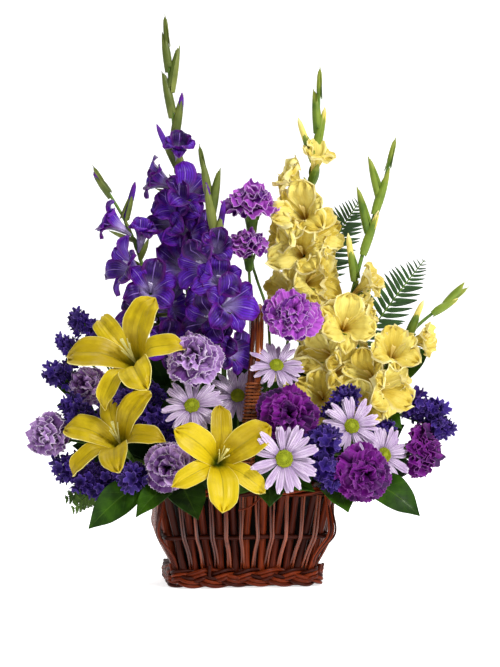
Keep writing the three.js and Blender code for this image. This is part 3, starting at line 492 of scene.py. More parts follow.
class GeometryTree(Board):
    """A Geometry Nodes tree with named inputs, ready for a modifier."""

    def __init__(self, name: str, inputs: Sequence[tuple[str, str, Any]]) -> None:
        """Makes the tree's interface.

        Args:
            name: the tree's name.
            inputs: (name, socket kind, default) for each.
        """
        super().__init__(bpy.data.node_groups.new(name, "GeometryNodeTree"), "GeometryNode")
        face = self.tree.interface
        face.new_socket("Geometry", in_out="INPUT", socket_type="NodeSocketGeometry")
        self.keys: dict[str, str] = {}
        for label, kind, default in inputs:
            socket = face.new_socket(label, in_out="INPUT", socket_type="NodeSocket" + kind)
            if default is not None:
                socket.default_value = default
            self.keys[label] = socket.identifier
        face.new_socket("Geometry", in_out="OUTPUT", socket_type="NodeSocketGeometry")
        self.entry = self.tree.nodes.new("NodeGroupInput")

    def given(self, label: str) -> Wire:
        """One of the tree's inputs."""
        return Wire(self, self.entry.outputs[label])

    def named(self, label: str, kind: str = "FLOAT") -> Wire:
        """An attribute of the geometry."""
        return self.node("InputNamedAttribute", {"data_type": kind}, {"Name": label})

    def drawn(self, low: Any, high: Any) -> Wire:
        """A random number for each element, from the tree's own seed."""
        return self.node(
            "FunctionNodeRandomValue", {"data_type": "FLOAT"}, {2: low, 3: high, "Seed": self.given("Seed")},
            1
        )

    def marked(self, geometry: Wire, name: str, value: Any, kind: str = "FLOAT",
               domain: str = "POINT") -> Wire:
        """The geometry with a value stored on it."""
        return self.node(
            "StoreNamedAttribute", {"data_type": kind, "domain": domain},
            {"Geometry": geometry, "Name": name, "Value": value},
        )

    def spun(self, x: Any, y: Any, z: Any) -> Wire:
        """A rotation from its Euler angles."""
        return self.node("FunctionNodeEulerToRotation", None, {0: self.vector(x, y, z)})

    def repeat(self, points: Wire, rotation: Wire, scale: Wire, tint: Wire) -> None:
        """Ends the tree in its item at every point, each with its own tint."""
        item = self.node("ObjectInfo", {"transform_space": "ORIGINAL"}, {"Object": self.given("Item")},
                         "Geometry")
        placed = self.node(
            "InstanceOnPoints", None,
            {"Points": points, "Instance": item, "Rotation": rotation, "Scale": scale}
        )
        self.close(self.marked(placed, "tint", tint, domain="INSTANCE"))

    def close(self, geometry: Wire) -> None:
        """Ends the tree in Realize Instances, smooth faces and Set Material."""
        whole = self.node("RealizeInstances", None, {"Geometry": geometry})
        smooth = self.node("SetShadeSmooth", None, {"Geometry": whole})
        painted = self.node("SetMaterial", None, {"Geometry": smooth, "Material": self.given("Material")})
        exit_node = self.tree.nodes.new("NodeGroupOutput")
        self.tree.links.new(painted.socket, exit_node.inputs[0])

    def run(self, mesh: bpy.types.Mesh | None = None, **values: Any) -> bpy.types.Mesh:
        """Runs the tree on a mesh.

        Args:
            mesh: what goes in, if anything does.
            values: the tree's inputs, with _ for each space in their names.

        Returns:
            The plain mesh that comes out.
        """
        host = new_object("host", mesh or bpy.data.meshes.new("empty"))
        modifier = host.modifiers.new("grow", "NODES")
        modifier.node_group = self.tree
        for label, value in values.items():
            modifier[self.keys[label.replace("_", " ")]] = value
        bpy.context.view_layer.update()
        graph = bpy.context.evaluated_depsgraph_get()
        made = bpy.data.meshes.new_from_object(host.evaluated_get(graph), depsgraph=graph)
        host.modifiers.remove(modifier)
        bpy.data.objects.remove(host)
        return made


def sweep_tree() -> GeometryTree:
    """Round rods along the lines of a mesh: radius and tint are attributes of its points."""
    tree = GeometryTree("swept_rods", (("Sides", "Int", 8), ("Material", "Material", None)))
    curve = tree.node("MeshToCurve", None, {"Mesh": tree.given("Geometry")})
    length = tree.node("SplineParameter", None, None, "Length")
    circle = tree.node("CurvePrimitiveCircle", None, {"Resolution": tree.given("Sides"), "Radius": 1.0})
    turn = tree.node("SplineParameter") * (2 * math.pi)
    around = tree.vector(turn.cosine(), turn.sine(), 0.0)
    tube = tree.node(
        "CurveToMesh", None,
        {
            "Curve": tree.marked(curve, "run", length),
            "Profile Curve": tree.marked(circle, "around", around, "FLOAT_VECTOR"),
            "Scale": tree.named("radius"),
            "Fill Caps": True,
        },
    )
    tree.close(tube)
    return tree


ITEM_INPUTS = (("Item", "Object", None), ("Seed", "Int", 1), ("Material", "Material", None))


def place_tree() -> GeometryTree:
    """An item on each point: facing turns its +Z, upward its +Y, and size is its scale there."""
    spreads = (("Size Spread", "Float", 0.1), ("Twist Spread", "Float", 0.1), ("Tilt Spread", "Float", 0.1))
    tree = GeometryTree("placed_items", ITEM_INPUTS + spreads)
    turned = tree.node(
        "FunctionNodeAxesToRotation",
        {"primary_axis": "Z", "secondary_axis": "Y"},
        {0: tree.named("facing", "FLOAT_VECTOR"), 1: tree.named("upward", "FLOAT_VECTOR")},
    )
    tilt, twist, spread = tree.given("Tilt Spread"), tree.given("Twist Spread"), tree.given("Size Spread")
    swing = tree.spun(tree.drawn(tilt * -1, tilt), tree.drawn(tilt * -1, tilt * 1.001),
                      tree.drawn(twist * -1, twist))
    rotation = tree.node("FunctionNodeRotateRotation", {"rotation_space": "LOCAL"}, {0: turned, 1: swing})
    scale = tree.named("size") * tree.drawn(1 - spread, 1 + spread)
    tree.repeat(tree.given("Geometry"), rotation, scale, tree.drawn(0.0, 1.0))
    return tree


def ring_tree() -> GeometryTree:
    """Rays round a hole: each item lies outward along +X and faces +Z."""
    sizes = (("Hole", 7.0), ("Height", 0.0), ("Lift", 0.1), ("Spread", 0.1), ("Start", 0.0))
    inputs = ITEM_INPUTS + (("Count", "Int", 16),) + tuple((name, "Float", value) for name, value in sizes)
    tree = GeometryTree("ring_of_rays", inputs)
    points = tree.node("Points", None, {"Count": tree.given("Count")})
    spread, hole = tree.given("Spread"), tree.given("Hole")
    step = tree.node("InputIndex") * (2 * math.pi) / tree.given("Count")
    angle = step + tree.given("Start") + tree.drawn(spread * -0.6, spread * 0.6)
    place = tree.vector(angle.cosine() * hole, angle.sine() * hole, tree.given("Height"))
    set_out = tree.node("SetPosition", None, {"Geometry": points, "Position": place})
    lift = tree.given("Lift") + tree.drawn(spread * -1, spread)
    rotation = tree.spun(tree.drawn(spread * -1.2, spread * 1.2), lift * -1, angle)
    tree.repeat(set_out, rotation, tree.drawn(1 - spread * 0.55, 1 + spread * 0.4), tree.drawn(0.0, 1.0))
    return tree


def seed_tree() -> GeometryTree:
    """Tiny florets in spirals over a dome that faces +Z."""
    sizes = (("Radius", 10.0), ("Dome", 4.0), ("Size", 1.0))
    inputs = ITEM_INPUTS + (("Count", "Int", 90),) + tuple((name, "Float", value) for name, value in sizes)
    tree = GeometryTree("spiral_of_florets", inputs)
    count = tree.given("Count")
    points = tree.node("Points", None, {"Count": count})
    share = (tree.node("InputIndex") + 0.5) / count
    radius = share**0.5 * tree.given("Radius")
    angle = tree.node("InputIndex") * GOLDEN_ANGLE
    hollow = 1 - 0.35 * (1 - share * 4).step(0.0, 1.0)
    height = tree.given("Dome") * (1 - share**1.6) * hollow + 0.8
    place = tree.vector(angle.cosine() * radius, angle.sine() * radius, height)
    set_out = tree.node("SetPosition", None, {"Geometry": points, "Position": place})
    scale = tree.given("Size") * (0.72 + share * 0.36) * tree.drawn(0.9, 1.1)
    tree.repeat(set_out, tree.spun(0.0, share * 0.75, angle), scale, share)
    return tree


# Finishes


class PaintBoard(Board):
    """A material's node tree, with what the finishes read."""

    def noise(self, scale: float, detail: float = 2.0) -> Wire:
        """Noise from 0 to 1, scale being how many of its lumps fit in a metre of Object coordinates."""
        place = self.node("TexCoord", None, None, "Object")
        return self.node("TexNoise", None, {"Vector": place, "Scale": scale, "Detail": detail})

    def read(self, name: str = "tint", output: str = "Fac") -> Wire:
        """An attribute; tint is each petal's or rod's own number from 0 to 1."""
        return self.node("Attribute", {"attribute_name": name}, None, output)

    def halves(self, vector: Wire) -> tuple[Wire, Wire]:
        """The first two parts of a vector."""
        first = self.node("SeparateXYZ", None, {0: vector})
        return first, Wire(self, first.socket.node.outputs[1])

    def across_and_along(self) -> tuple[Wire, Wire]:
        """Where a point lies on its petal: 0 to 1 across, and 0 at the base to 1 at the tip."""
        return self.halves(self.node("UVMap", {"uv_map": "UVMap"}))


@dataclass(frozen=True)
class Finish:
    """What every finish has: its slot in the record, how it shines, and its glow, which is painted light: the
    surface gives off its own colour, so that its shade is lifted; on the backdrop the glow keeps it evenly
    bright.
    """

    slot: Slot
    roughness: float = 0.55
    coat: float = 0.0
    specular: float = 0.25
    glow: float = 0.0

    def paint(self, board: PaintBoard) -> tuple[Wire, Wire, Wire]:
        """Colour, roughness and bump height (millimetres) over the surface."""
        raise NotImplementedError

    def material(self) -> bpy.types.Material:
        """Makes the material."""
        made = bpy.data.materials.new("finish_" + self.slot.value)
        made.use_nodes = True
        made.node_tree.nodes.clear()
        board = PaintBoard(made.node_tree, "ShaderNode")
        colour, roughness, height = self.paint(board)
        sockets = {
            "Base Color": colour,
            "Roughness": roughness,
            "Normal": board.node("Bump", None, {"Strength": 0.8, "Distance": MM, "Height": height}),
            "Coat Weight": self.coat,
            "Coat Roughness": 0.15,
            "Specular IOR Level": self.specular,
            # The glow is painted light: the surface gives off its own colour, standing in for light that
            # shines through it.
            "Emission Color": colour,
            "Emission Strength": self.glow,
        }
        shader = board.node("BsdfPrincipled", None, sockets)
        end = made.node_tree.nodes.new("ShaderNodeOutputMaterial")
        made.node_tree.links.new(shader.socket, end.inputs["Surface"])
        return made


@dataclass(frozen=True)
class PetalFinish(Finish):
    """Petals: a throat and a rim of other colours, veins that fan out, and a tint for each petal. On the
    carnations the throat colour is painted shade deep in the bloom and the rim is partly painted highlight;
    on the lily the throat is partly painted shade.
    """

    body: str = "ffffff"
    deep: str = "cccccc"
    throat: str = "ffffff"
    rim: str = "ffffff"
    throat_reach: tuple[float, float] = (0.1, 0.45)
    rim_share: float = 0.5
    rim_width: float = 0.1
    midrib: float = 0.0
    midrib_colour: str = "ffffff"
    veins: int = 12
    vein_share: float = 0.25
    vein_bump: float = 0.25

    def paint(self, board: PaintBoard) -> tuple[Wire, Wire, Wire]:
        """Colour, roughness and bump height over a petal."""
        across, along = board.across_and_along()
        blotch, fine = board.noise(60.0, 3.0), board.noise(420.0)
        body = board.mix((blotch * 1.6 - 0.3 + (board.read() - 0.5) * 0.9).step(0.0, 1.0), self.deep,
                         self.body)
        ribs = ((across * (self.veins * 2 * math.pi) + fine * 2.2).sine() * 0.5 + 0.5) ** 2.5
        ribs = ribs * along.step(0.02, 0.2) * (1 - along.step(0.8, 1.0) * 0.6)
        body = board.mix(ribs * self.vein_share, body, self.deep)
        # The throat colour over each petal's base: the flower's own throat colour, and on the carnations, and
        # in part on the lily, painted shade in the depth of the bloom.
        throat = (along + (fine - 0.5) * 0.08).step(self.throat_reach[1], self.throat_reach[0])
        body = board.mix(throat, body, self.throat)
        line = (abs(across - 0.5) + (fine - 0.5) * 0.02).step(0.035, 0.008) * along.step(0.95, 0.6)
        body = board.mix(line * self.midrib, body, self.midrib_colour)
        # The rim colour along the edges: the petals' own edge colour, and on the carnations partly painted
        # highlight along the frills.
        border = (across.least(1 - across) * 1.3).least((1 - along) * 1.6)
        rim = (border + (blotch - 0.5) * 0.05).step(self.rim_width, 0.0)
        colour = board.mix(rim * self.rim_share, body, self.rim)
        height = ribs * self.vein_bump + fine * 0.1 - line * self.vein_bump
        return colour, self.roughness + (fine - 0.5) * 0.16, height


@dataclass(frozen=True)
class GreenFinish(Finish):
    """Stems, calyxes and leaves: a lighter vein net on a darker green."""

    body: str = "3a6a1e"
    deep: str = "1c3d10"
    vein: str = "7fa04a"
    side_veins: int = 1
    vein_share: float = 0.5
    vein_bump: float = 0.35
    tip: str | None = None

    def paint(self, board: PaintBoard) -> tuple[Wire, Wire, Wire]:
        """Colour, roughness and bump height over a leaf or stem."""
        across, along = board.across_and_along()
        blotch, fine = board.noise(45.0, 4.0), board.noise(700.0)
        body = board.mix((blotch * 1.8 - 0.4 + (board.read() - 0.5) * 0.7).step(0.0, 1.0), self.deep,
                         self.body)
        off = abs(across - 0.5) * 2
        midrib = (off + (fine - 0.5) * 0.03).step(0.07, 0.015)
        slant = (along - off * 0.24) * self.side_veins + (blotch - 0.5) * 0.35
        sides = abs((slant * math.pi).sine()).step(0.16, 0.02) * (1 - off * 0.7)
        net = midrib.most(sides * 0.55)
        colour = board.mix(net * self.vein_share, body, self.vein)
        if self.tip:
            colour = board.mix((along + (blotch - 0.5) * 0.3).step(0.62, 0.86), colour, self.tip)
        height = fine * 0.06 - net * self.vein_bump + (1 - net) * (blotch * 0.35)
        return colour, self.roughness + (fine - 0.5) * 0.2 + net * 0.1, height


@dataclass(frozen=True)
class WillowFinish(Finish):
    """Stained and varnished willow: darker and lighter streaks along each rod and darker knots; the lighter
    streaks are partly the wood's own grain and partly painted highlight.
    """

    light: str = "8a3d1c"
    body: str = "54200f"
    dark: str = "220a06"

    def paint(self, board: PaintBoard) -> tuple[Wire, Wire, Wire]:
        """Colour, roughness and bump height along a rod."""
        run, tint = board.read("run"), board.read()
        first, second = board.halves(board.read("around", "Vector"))
        grain_at = board.vector(first * 2.6 + tint * 37.0, second * 2.6, run * 14.0)
        grain = board.node("TexNoise", None,
                           {"Vector": grain_at, "Scale": 1.6, "Detail": 5.0, "Roughness": 0.62})
        knots = board.noise(55.0)
        body = board.mix((grain + (tint - 0.5) * 0.36).step(0.3, 0.72), self.dark, self.body)
        # Lighter streaks where grain and tint run high: partly the wood's grain, partly painted highlight.
        body = board.mix((grain * 0.6 + tint * 0.4).step(0.52, 0.8), body, self.light)
        colour = board.mix(knots.step(0.62, 0.74) * 0.65, body, self.dark)
        return colour, self.roughness + (grain - 0.5) * 0.3, grain * 0.35 + knots * 0.2


@dataclass(frozen=True)
class MattFinish(Finish):
    """Foam, plastic film and the like: a fine even texture with soft blotches."""

    body: str = "35532f"
    deep: str = "203a1e"
    grain: float = 900.0
    depth: float = 0.3

    def paint(self, board: PaintBoard) -> tuple[Wire, Wire, Wire]:
        """Colour, roughness and bump height."""
        fine, blotch = board.noise(self.grain, 3.0), board.noise(40.0, 3.0)
        colour = board.mix((fine * 0.6 + blotch * 0.4).step(0.35, 0.65), self.deep, self.body)
        return colour, self.roughness + (blotch - 0.5) * 0.1, fine * self.depth


@dataclass(frozen=True)
class DiscFinish(Finish):
    """A daisy's disc: greener and deeper in the middle, yellow with open florets at the edge."""

    middle: str = "7d8a14"
    edge: str = "cfc21c"
    deep: str = "525c0c"

    def paint(self, board: PaintBoard) -> tuple[Wire, Wire, Wire]:
        """Colour, roughness and bump height."""
        tint, fine = board.read(), board.noise(900.0)
        colour = board.mix(tint.step(0.1, 0.9), self.middle, self.edge)
        colour = board.mix(tint.step(0.12, 0.0) * 0.8, colour, self.deep)
        colour = board.mix(fine.step(0.62, 0.4) * 0.35, colour, self.deep)
        return colour, self.roughness + (fine - 0.5) * 0.1, fine * 0.15


@dataclass(frozen=True)
class StudioFinish(Finish):
    """The pale floor and its backdrop."""

    body: str = "f4f4f4"
    deep: str = "eeeeee"

    def paint(self, board: PaintBoard) -> tuple[Wire, Wire, Wire]:
        """Colour, roughness and bump height."""
        soft = board.noise(1.5)
        return board.mix(soft, self.deep, self.body), soft * 0.1 + self.roughness, soft * 0.0


# The light colour of each willow finish is partly painted highlight on the rods.
WILLOW = WillowFinish(Slot.WILLOW, 0.4, specular=0.12, light="8a3410", body="561a08", dark="300c04")
THIN_WILLOW = WillowFinish(Slot.WILLOW, 0.2, 0.4, 0.4, light="a8502c", body="521808", dark="300c06")
HANDLE_WILLOW = WillowFinish(Slot.WILLOW, 0.24, 0.25, 0.3, light="b86022", body="76300e", dark="2c0c04")
CANE = WillowFinish(Slot.WILLOW, 0.28, 0.25, light="d08444", body="94461a", dark="501c08")
LINER = MattFinish(Slot.LINER, 0.7, specular=0.12, body="140a07", deep="080403", grain=250.0, depth=0.1)
FOAM = MattFinish(Slot.FOAM, 0.95, body="3c5c34", deep="263f22")
# The petal finishes' glow below is painted light: each petal gives off a little of its own colour, as if
# light shone through it.
LILY_PETAL = PetalFinish(
    # The lily's olive throat is its own colour, darkened and widened in part as painted shade toward the
    # bloom's middle.
    Slot.LILY, 0.45, glow=0.02, body="d2b812", deep="aa9006", throat="56640a", rim="f4ea90",
    throat_reach=(0.03, 0.3),
    rim_share=0.7, rim_width=0.04, midrib=0.5, midrib_colour="867a0a", veins=8, vein_share=0.06,
)
LILY_HEART = PetalFinish(
    Slot.LILY, 0.45, body="f6e9a8", deep="e2cd74", throat="a8ad3a", rim="f6e9a8", vein_share=0.1
)
PURPLE_PETAL = PetalFinish(
    Slot.PURPLE, 0.42, glow=0.03, body="5c20b6", deep="240446", throat="cebcea", rim="66127e",
    throat_reach=(0.12, 0.56), rim_share=0.6, rim_width=0.3, midrib=0.75, midrib_colour="a884e0", veins=9,
    vein_share=0.55, vein_bump=0.5,
)
PURPLE_HEART = PetalFinish(Slot.PURPLE, 0.5, body="e6dcf6", deep="b8a4e0", throat="e6dcf6", rim="e6dcf6")
YELLOW_PETAL = PetalFinish(
    Slot.YELLOW, glow=0.05, body="e6d774", deep="ceb544", throat="c09016", rim="f4ecb6",
    throat_reach=(0.05, 0.36),
    rim_share=0.6, rim_width=0.14, midrib=0.2, midrib_colour="c09c24", veins=13, vein_share=0.2,
)
YELLOW_HEART = PetalFinish(Slot.YELLOW, 0.5, body="fbf0b0", deep="e8c850", throat="f0d060", rim="fbf0b0")
# On the carnations the throat colour, near black over the lower part of each petal, is painted shade in the
# depths of the bloom, and the pale rim is partly the petals' own paler edge and partly painted highlight
# along the frills.
VIOLET_PETAL = PetalFinish(
    Slot.VIOLET, 0.5, glow=0.03, body="b654c6", deep="5c1080", throat="26043a", rim="eac6f0",
    throat_reach=(0.34, 0.78), rim_width=0.06, veins=9, vein_share=0.4, vein_bump=0.35,
)
LILAC_PETAL = replace(
    VIOLET_PETAL, slot=Slot.LILAC, glow=0.02, body="c096d4", deep="5e3076", throat="240830", rim="faecfc",
    throat_reach=(0.42, 0.86), rim_share=0.6, rim_width=0.07,
)
PLUM_PETAL = replace(
    VIOLET_PETAL, slot=Slot.PLUM, glow=0.02, body="7c148a", deep="340446", throat="12001c", rim="b45cc0",
    throat_reach=(0.36, 0.8), rim_share=0.35, vein_share=0.5,
)
DAISY_RAY = PetalFinish(
    Slot.DAISY, glow=0.03, body="e6d6ea", deep="b698c4", throat="9c7cb0", rim="fcf4fe",
    throat_reach=(0.02, 0.4),
    veins=3, vein_share=0.7, vein_bump=0.8,
)
DAISY_DISC = DiscFinish(Slot.DAISY, 0.7, middle="6c7a10", edge="c4cc24", deep="3e480a")
STATICE_CUP = PetalFinish(
    Slot.STATICE, 0.6, glow=0.02, body="3c2288", deep="140632", throat="8a70c0", rim="7e5cc0",
    throat_reach=(0.0, 0.2),
    rim_width=0.2, veins=5, vein_share=0.3,
)
STEM_GREEN = GreenFinish(Slot.STEM, 0.5, body="6c8c34", deep="3c5c1c", vein="8fae52", vein_share=0.2,
                         vein_bump=0.1)
PURPLE_SHEATH = GreenFinish(
    Slot.STEM, 0.45, body="78803a", deep="4a581e", vein="949c5a", vein_share=0.25, vein_bump=0.2
)
YELLOW_SHEATH = replace(PURPLE_SHEATH, body="7c9030", deep="46641a", vein="9cac54", tip="8c9638")
FERN_GREEN = GreenFinish(Slot.FERN, 0.5, body="345826", deep="1a3410", vein="5c7c40")
LEATHERLEAF_GREEN = GreenFinish(Slot.FERN, 0.45, body="506c28", deep="2a4414", vein="688840")
SALAL_LEAF = GreenFinish(
    Slot.LEAF, 0.45, 0.03, 0.12, body="38600a", deep="142e02", vein="587c24", side_veins=6, vein_share=0.3
)
# A darker copy of the salal leaf finish: painted shade for the leaves deep among the stems.
SHADED_TUCKED_LEAF = replace(
    SALAL_LEAF, roughness=0.5, coat=0.0, specular=0.15, body="1e3c0a", deep="0a1c04", vein="345418"
)
STUDIO_WHITE = StudioFinish(Slot.FOAM, 0.8, glow=0.8)


# The bench


def seed_number(name: str) -> int:
    """A whole number that a piece's name always gives, so that no other piece moves its random draws."""
    total = 7
    for letter in name:
        total = (total * 31 + ord(letter)) % 100003
    return total


def seeded(name: str) -> Draws:
    """Random draws that the name always gives."""
    return np.random.default_rng(seed_number(name))


class Bench:
    """Where shapes become pieces that ride on the part's body."""

    def __init__(self) -> None:
        """Makes the trees and an empty shelf of materials and items."""
        self.sweep = sweep_tree()
        self.place = place_tree()
        self.ring = ring_tree()
        self.spiral = seed_tree()
        self._paints: dict[Finish, bpy.types.Material] = {}
        self._items: list[bpy.types.Object] = []

    def paint(self, finish: Finish) -> bpy.types.Material:
        """The material of a finish, made once."""
        if finish not in self._paints:
            self._paints[finish] = finish.material()
        return self._paints[finish]

    def item(self, name: str, shape: Shape, scale: float = 1.0) -> bpy.types.Object:
        """A small shape that a tree will repeat; it leaves the scene when the bench is cleared."""
        made = new_object("item_" + name, shape.mesh("item_" + name, scale))
        self._items.append(made)
        return made

    def clear(self) -> None:
        """Takes the repeated items out of the scene."""
        for item in self._items:
            bpy.data.objects.remove(item)
        self._items.clear()

    def keep(self, name: str, mesh: bpy.types.Mesh, finish: Finish, *nodes: str) -> bpy.types.Object:
        """Makes a mesh a piece of the part.

        Args:
            name: the piece's name.
            mesh: in metres, in its place.
            finish: how it looks.
            nodes: the CAD nodes that it stands for.

        Returns:
            The piece.
        """
        mesh.name = name
        mesh.materials.clear()
        mesh.materials.append(self.paint(finish))
        piece = new_object(name, mesh)
        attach(piece, BODY)
        if nodes:
            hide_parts(*nodes)
        log.info("%s: %d faces", name, len(mesh.polygons))
        return piece

    def rods(self, name: str, lines: Sequence["Line"], finish: Finish, *nodes: str,
             sides: int = 8) -> bpy.types.Object:
        """Round rods, stems or strands along lines, as one piece."""
        points = np.concatenate([line.points for line in lines]) * MM
        radii = np.concatenate([line.radii for line in lines]) * MM
        tints = np.concatenate([np.full(len(line.points), line.tint) for line in lines])
        edges = []
        start = 0
        for line in lines:
            count = len(line.points)
            edges += [(start + i, start + i + 1) for i in range(count - 1)]
            if line.closed:
                edges.append((start + count - 1, start))
            start += count
        mesh = bpy.data.meshes.new(name)
        mesh.from_pydata(points.tolist(), edges, [])
        for label, values in (("radius", radii), ("tint", tints)):
            mesh.attributes.new(label, "FLOAT", "POINT").data.foreach_set("value", values.astype(np.float32))
        made = self.sweep.run(mesh, Sides=sides, Material=self.paint(finish))
        made.set_sharp_from_angle(angle=SHARP)
        return self.keep(name, made, finish, *nodes)

    def scatter(self, name: str, spots: Sequence["Spot"], item: bpy.types.Object, finish: Finish, *nodes: str,
                size_spread: float = 0.1, twist_spread: float = 0.1,
                tilt_spread: float = 0.1) -> bpy.types.Object:
        """An item at every spot, as one piece."""
        mesh = bpy.data.meshes.new(name)
        mesh.from_pydata([tuple(spot.at * MM) for spot in spots], [], [])
        for label, kind, values in (
            ("facing", "FLOAT_VECTOR", [spot.facing for spot in spots]),
            ("upward", "FLOAT_VECTOR", [spot.upward for spot in spots]),
            ("size", "FLOAT", [spot.size * MM for spot in spots]),
        ):
            data = mesh.attributes.new(label, kind, "POINT").data
            data.foreach_set("vector" if kind == "FLOAT_VECTOR" else "value",
                             np.array(values, np.float32).ravel())
        made = self.place.run(
            mesh,
            Item=item,
            Size_Spread=size_spread,
            Twist_Spread=twist_spread,
            Tilt_Spread=tilt_spread,
            Seed=seed_number(name),
            Material=self.paint(finish),
        )
        return self.keep(name, made, finish, *nodes)


@dataclass
class Line:
    """A rod's middle line with its radius at each point, in millimetres."""

    points: Array
    radii: Array
    tint: float = 0.5
    closed: bool = False

    @staticmethod
    def even(points: Array, radius: float, tint: float = 0.5, closed: bool = False) -> "Line":
        """A rod of one radius."""
        return Line(points, np.full(len(points), float(radius)), tint, closed)


@dataclass
class Spot:
    """Where an item goes and how it is turned."""

    at: Array
    facing: Array
    upward: Array
    size: float = 1.0


# The basket


@dataclass(frozen=True)
class Rope:
    """A rope of rod groups laid round the basket."""

    half_width: float
    half_depth: float
    corner: float
    height: float
    radius: float
    rod: float
    groups: int = 3
    rods_in_group: int = 3
    turns: int = 5
    steps: int = 180

    def path(self) -> Array:
        """The middle line round the basket."""
        x, y, r = self.half_width, self.half_depth, self.corner
        arc = np.linspace(0, math.pi / 2, 12)
        rounds = [
            np.stack([cx + r * np.cos(a0 + arc), cy + r * np.sin(a0 + arc)], -1)
            for cx, cy, a0 in (
                (x - r, -(y - r), -math.pi / 2),
                (x - r, y - r, 0.0),
                (-(x - r), y - r, math.pi / 2),
                (-(x - r), -(y - r), math.pi),
            )
        ]
        outline = np.concatenate([*rounds, rounds[0][:1]])
        run = np.concatenate([[0], np.cumsum(np.linalg.norm(np.diff(outline, axis=0), axis=1))])
        at = np.linspace(0, run[-1], self.steps, endpoint=False)
        flat = np.stack([np.interp(at, run, outline[:, k]) for k in (0, 1)], -1)
        return np.column_stack([flat, np.full(self.steps, self.height)])

    def strands(self, random: Draws) -> list[Line]:
        """The rods of the rope."""
        path = self.path()
        along = unit(np.roll(path, -1, axis=0) - np.roll(path, 1, axis=0))
        outward = np.cross(along, [0, 0, 1])
        twist = np.linspace(0, 2 * math.pi * self.turns, self.steps, endpoint=False)
        lines = []
        for group in range(self.groups):
            wander = 0.5 * np.sin(twist * 0.6 + random.uniform(0, 6))
            for k in range(self.rods_in_group):
                offset = k - (self.rods_in_group - 1) / 2
                turn = twist + 2 * math.pi * group / self.groups + offset * 0.52
                reach = self.radius - self.rod + wander - 0.5 * offset**2
                points = (
                    path
                    + outward * (reach * np.cos(turn))[:, None]
                    + np.array([0, 0, 1]) * (reach * np.sin(turn))[:, None]
                )
                lines.append(Line.even(points, self.rod * random.uniform(0.9, 1.08), random.random(), True))
        return lines


@dataclass(frozen=True)
class Plait(Rope):
    """Three flat groups of rods plaited over and under each other, sway up and down and depth in and out."""

    sway: float = 5.4
    depth: float = 4.6

    def strands(self, random: Draws) -> list[Line]:
        """The rods of the plait."""
        path = self.path()
        ahead = np.roll(path, -1, axis=0) - np.roll(path, 1, axis=0)
        along = unit(ahead)
        outward = np.cross(along, [0, 0, 1])
        length = np.linalg.norm(ahead, axis=1).sum() / 2
        phase = np.linspace(0, 2 * math.pi * self.turns, self.steps, endpoint=False)
        lines = []
        for group in range(self.groups):
            turn = phase + 2 * math.pi * group / self.groups
            slope = self.sway * np.cos(turn) * 2 * math.pi * self.turns / length
            lean = np.sqrt(1 + slope**2)
            for k in range(self.rods_in_group):
                offset = (k - (self.rods_in_group - 1) / 2) * self.rod * 1.9
                wander = 0.5 * np.sin(phase * 0.43 + random.uniform(0, 6))
                rise = self.sway * np.sin(turn) + offset / lean + wander
                out = self.depth * np.sin(2 * turn) + random.uniform(-0.4, 0.4)
                points = path - along * (offset * slope / lean)[:, None] + outward * out[:, None]
                points[:, 2] += rise
                lines.append(Line.even(points, self.rod * random.uniform(0.9, 1.06), random.random(), True))
        return lines


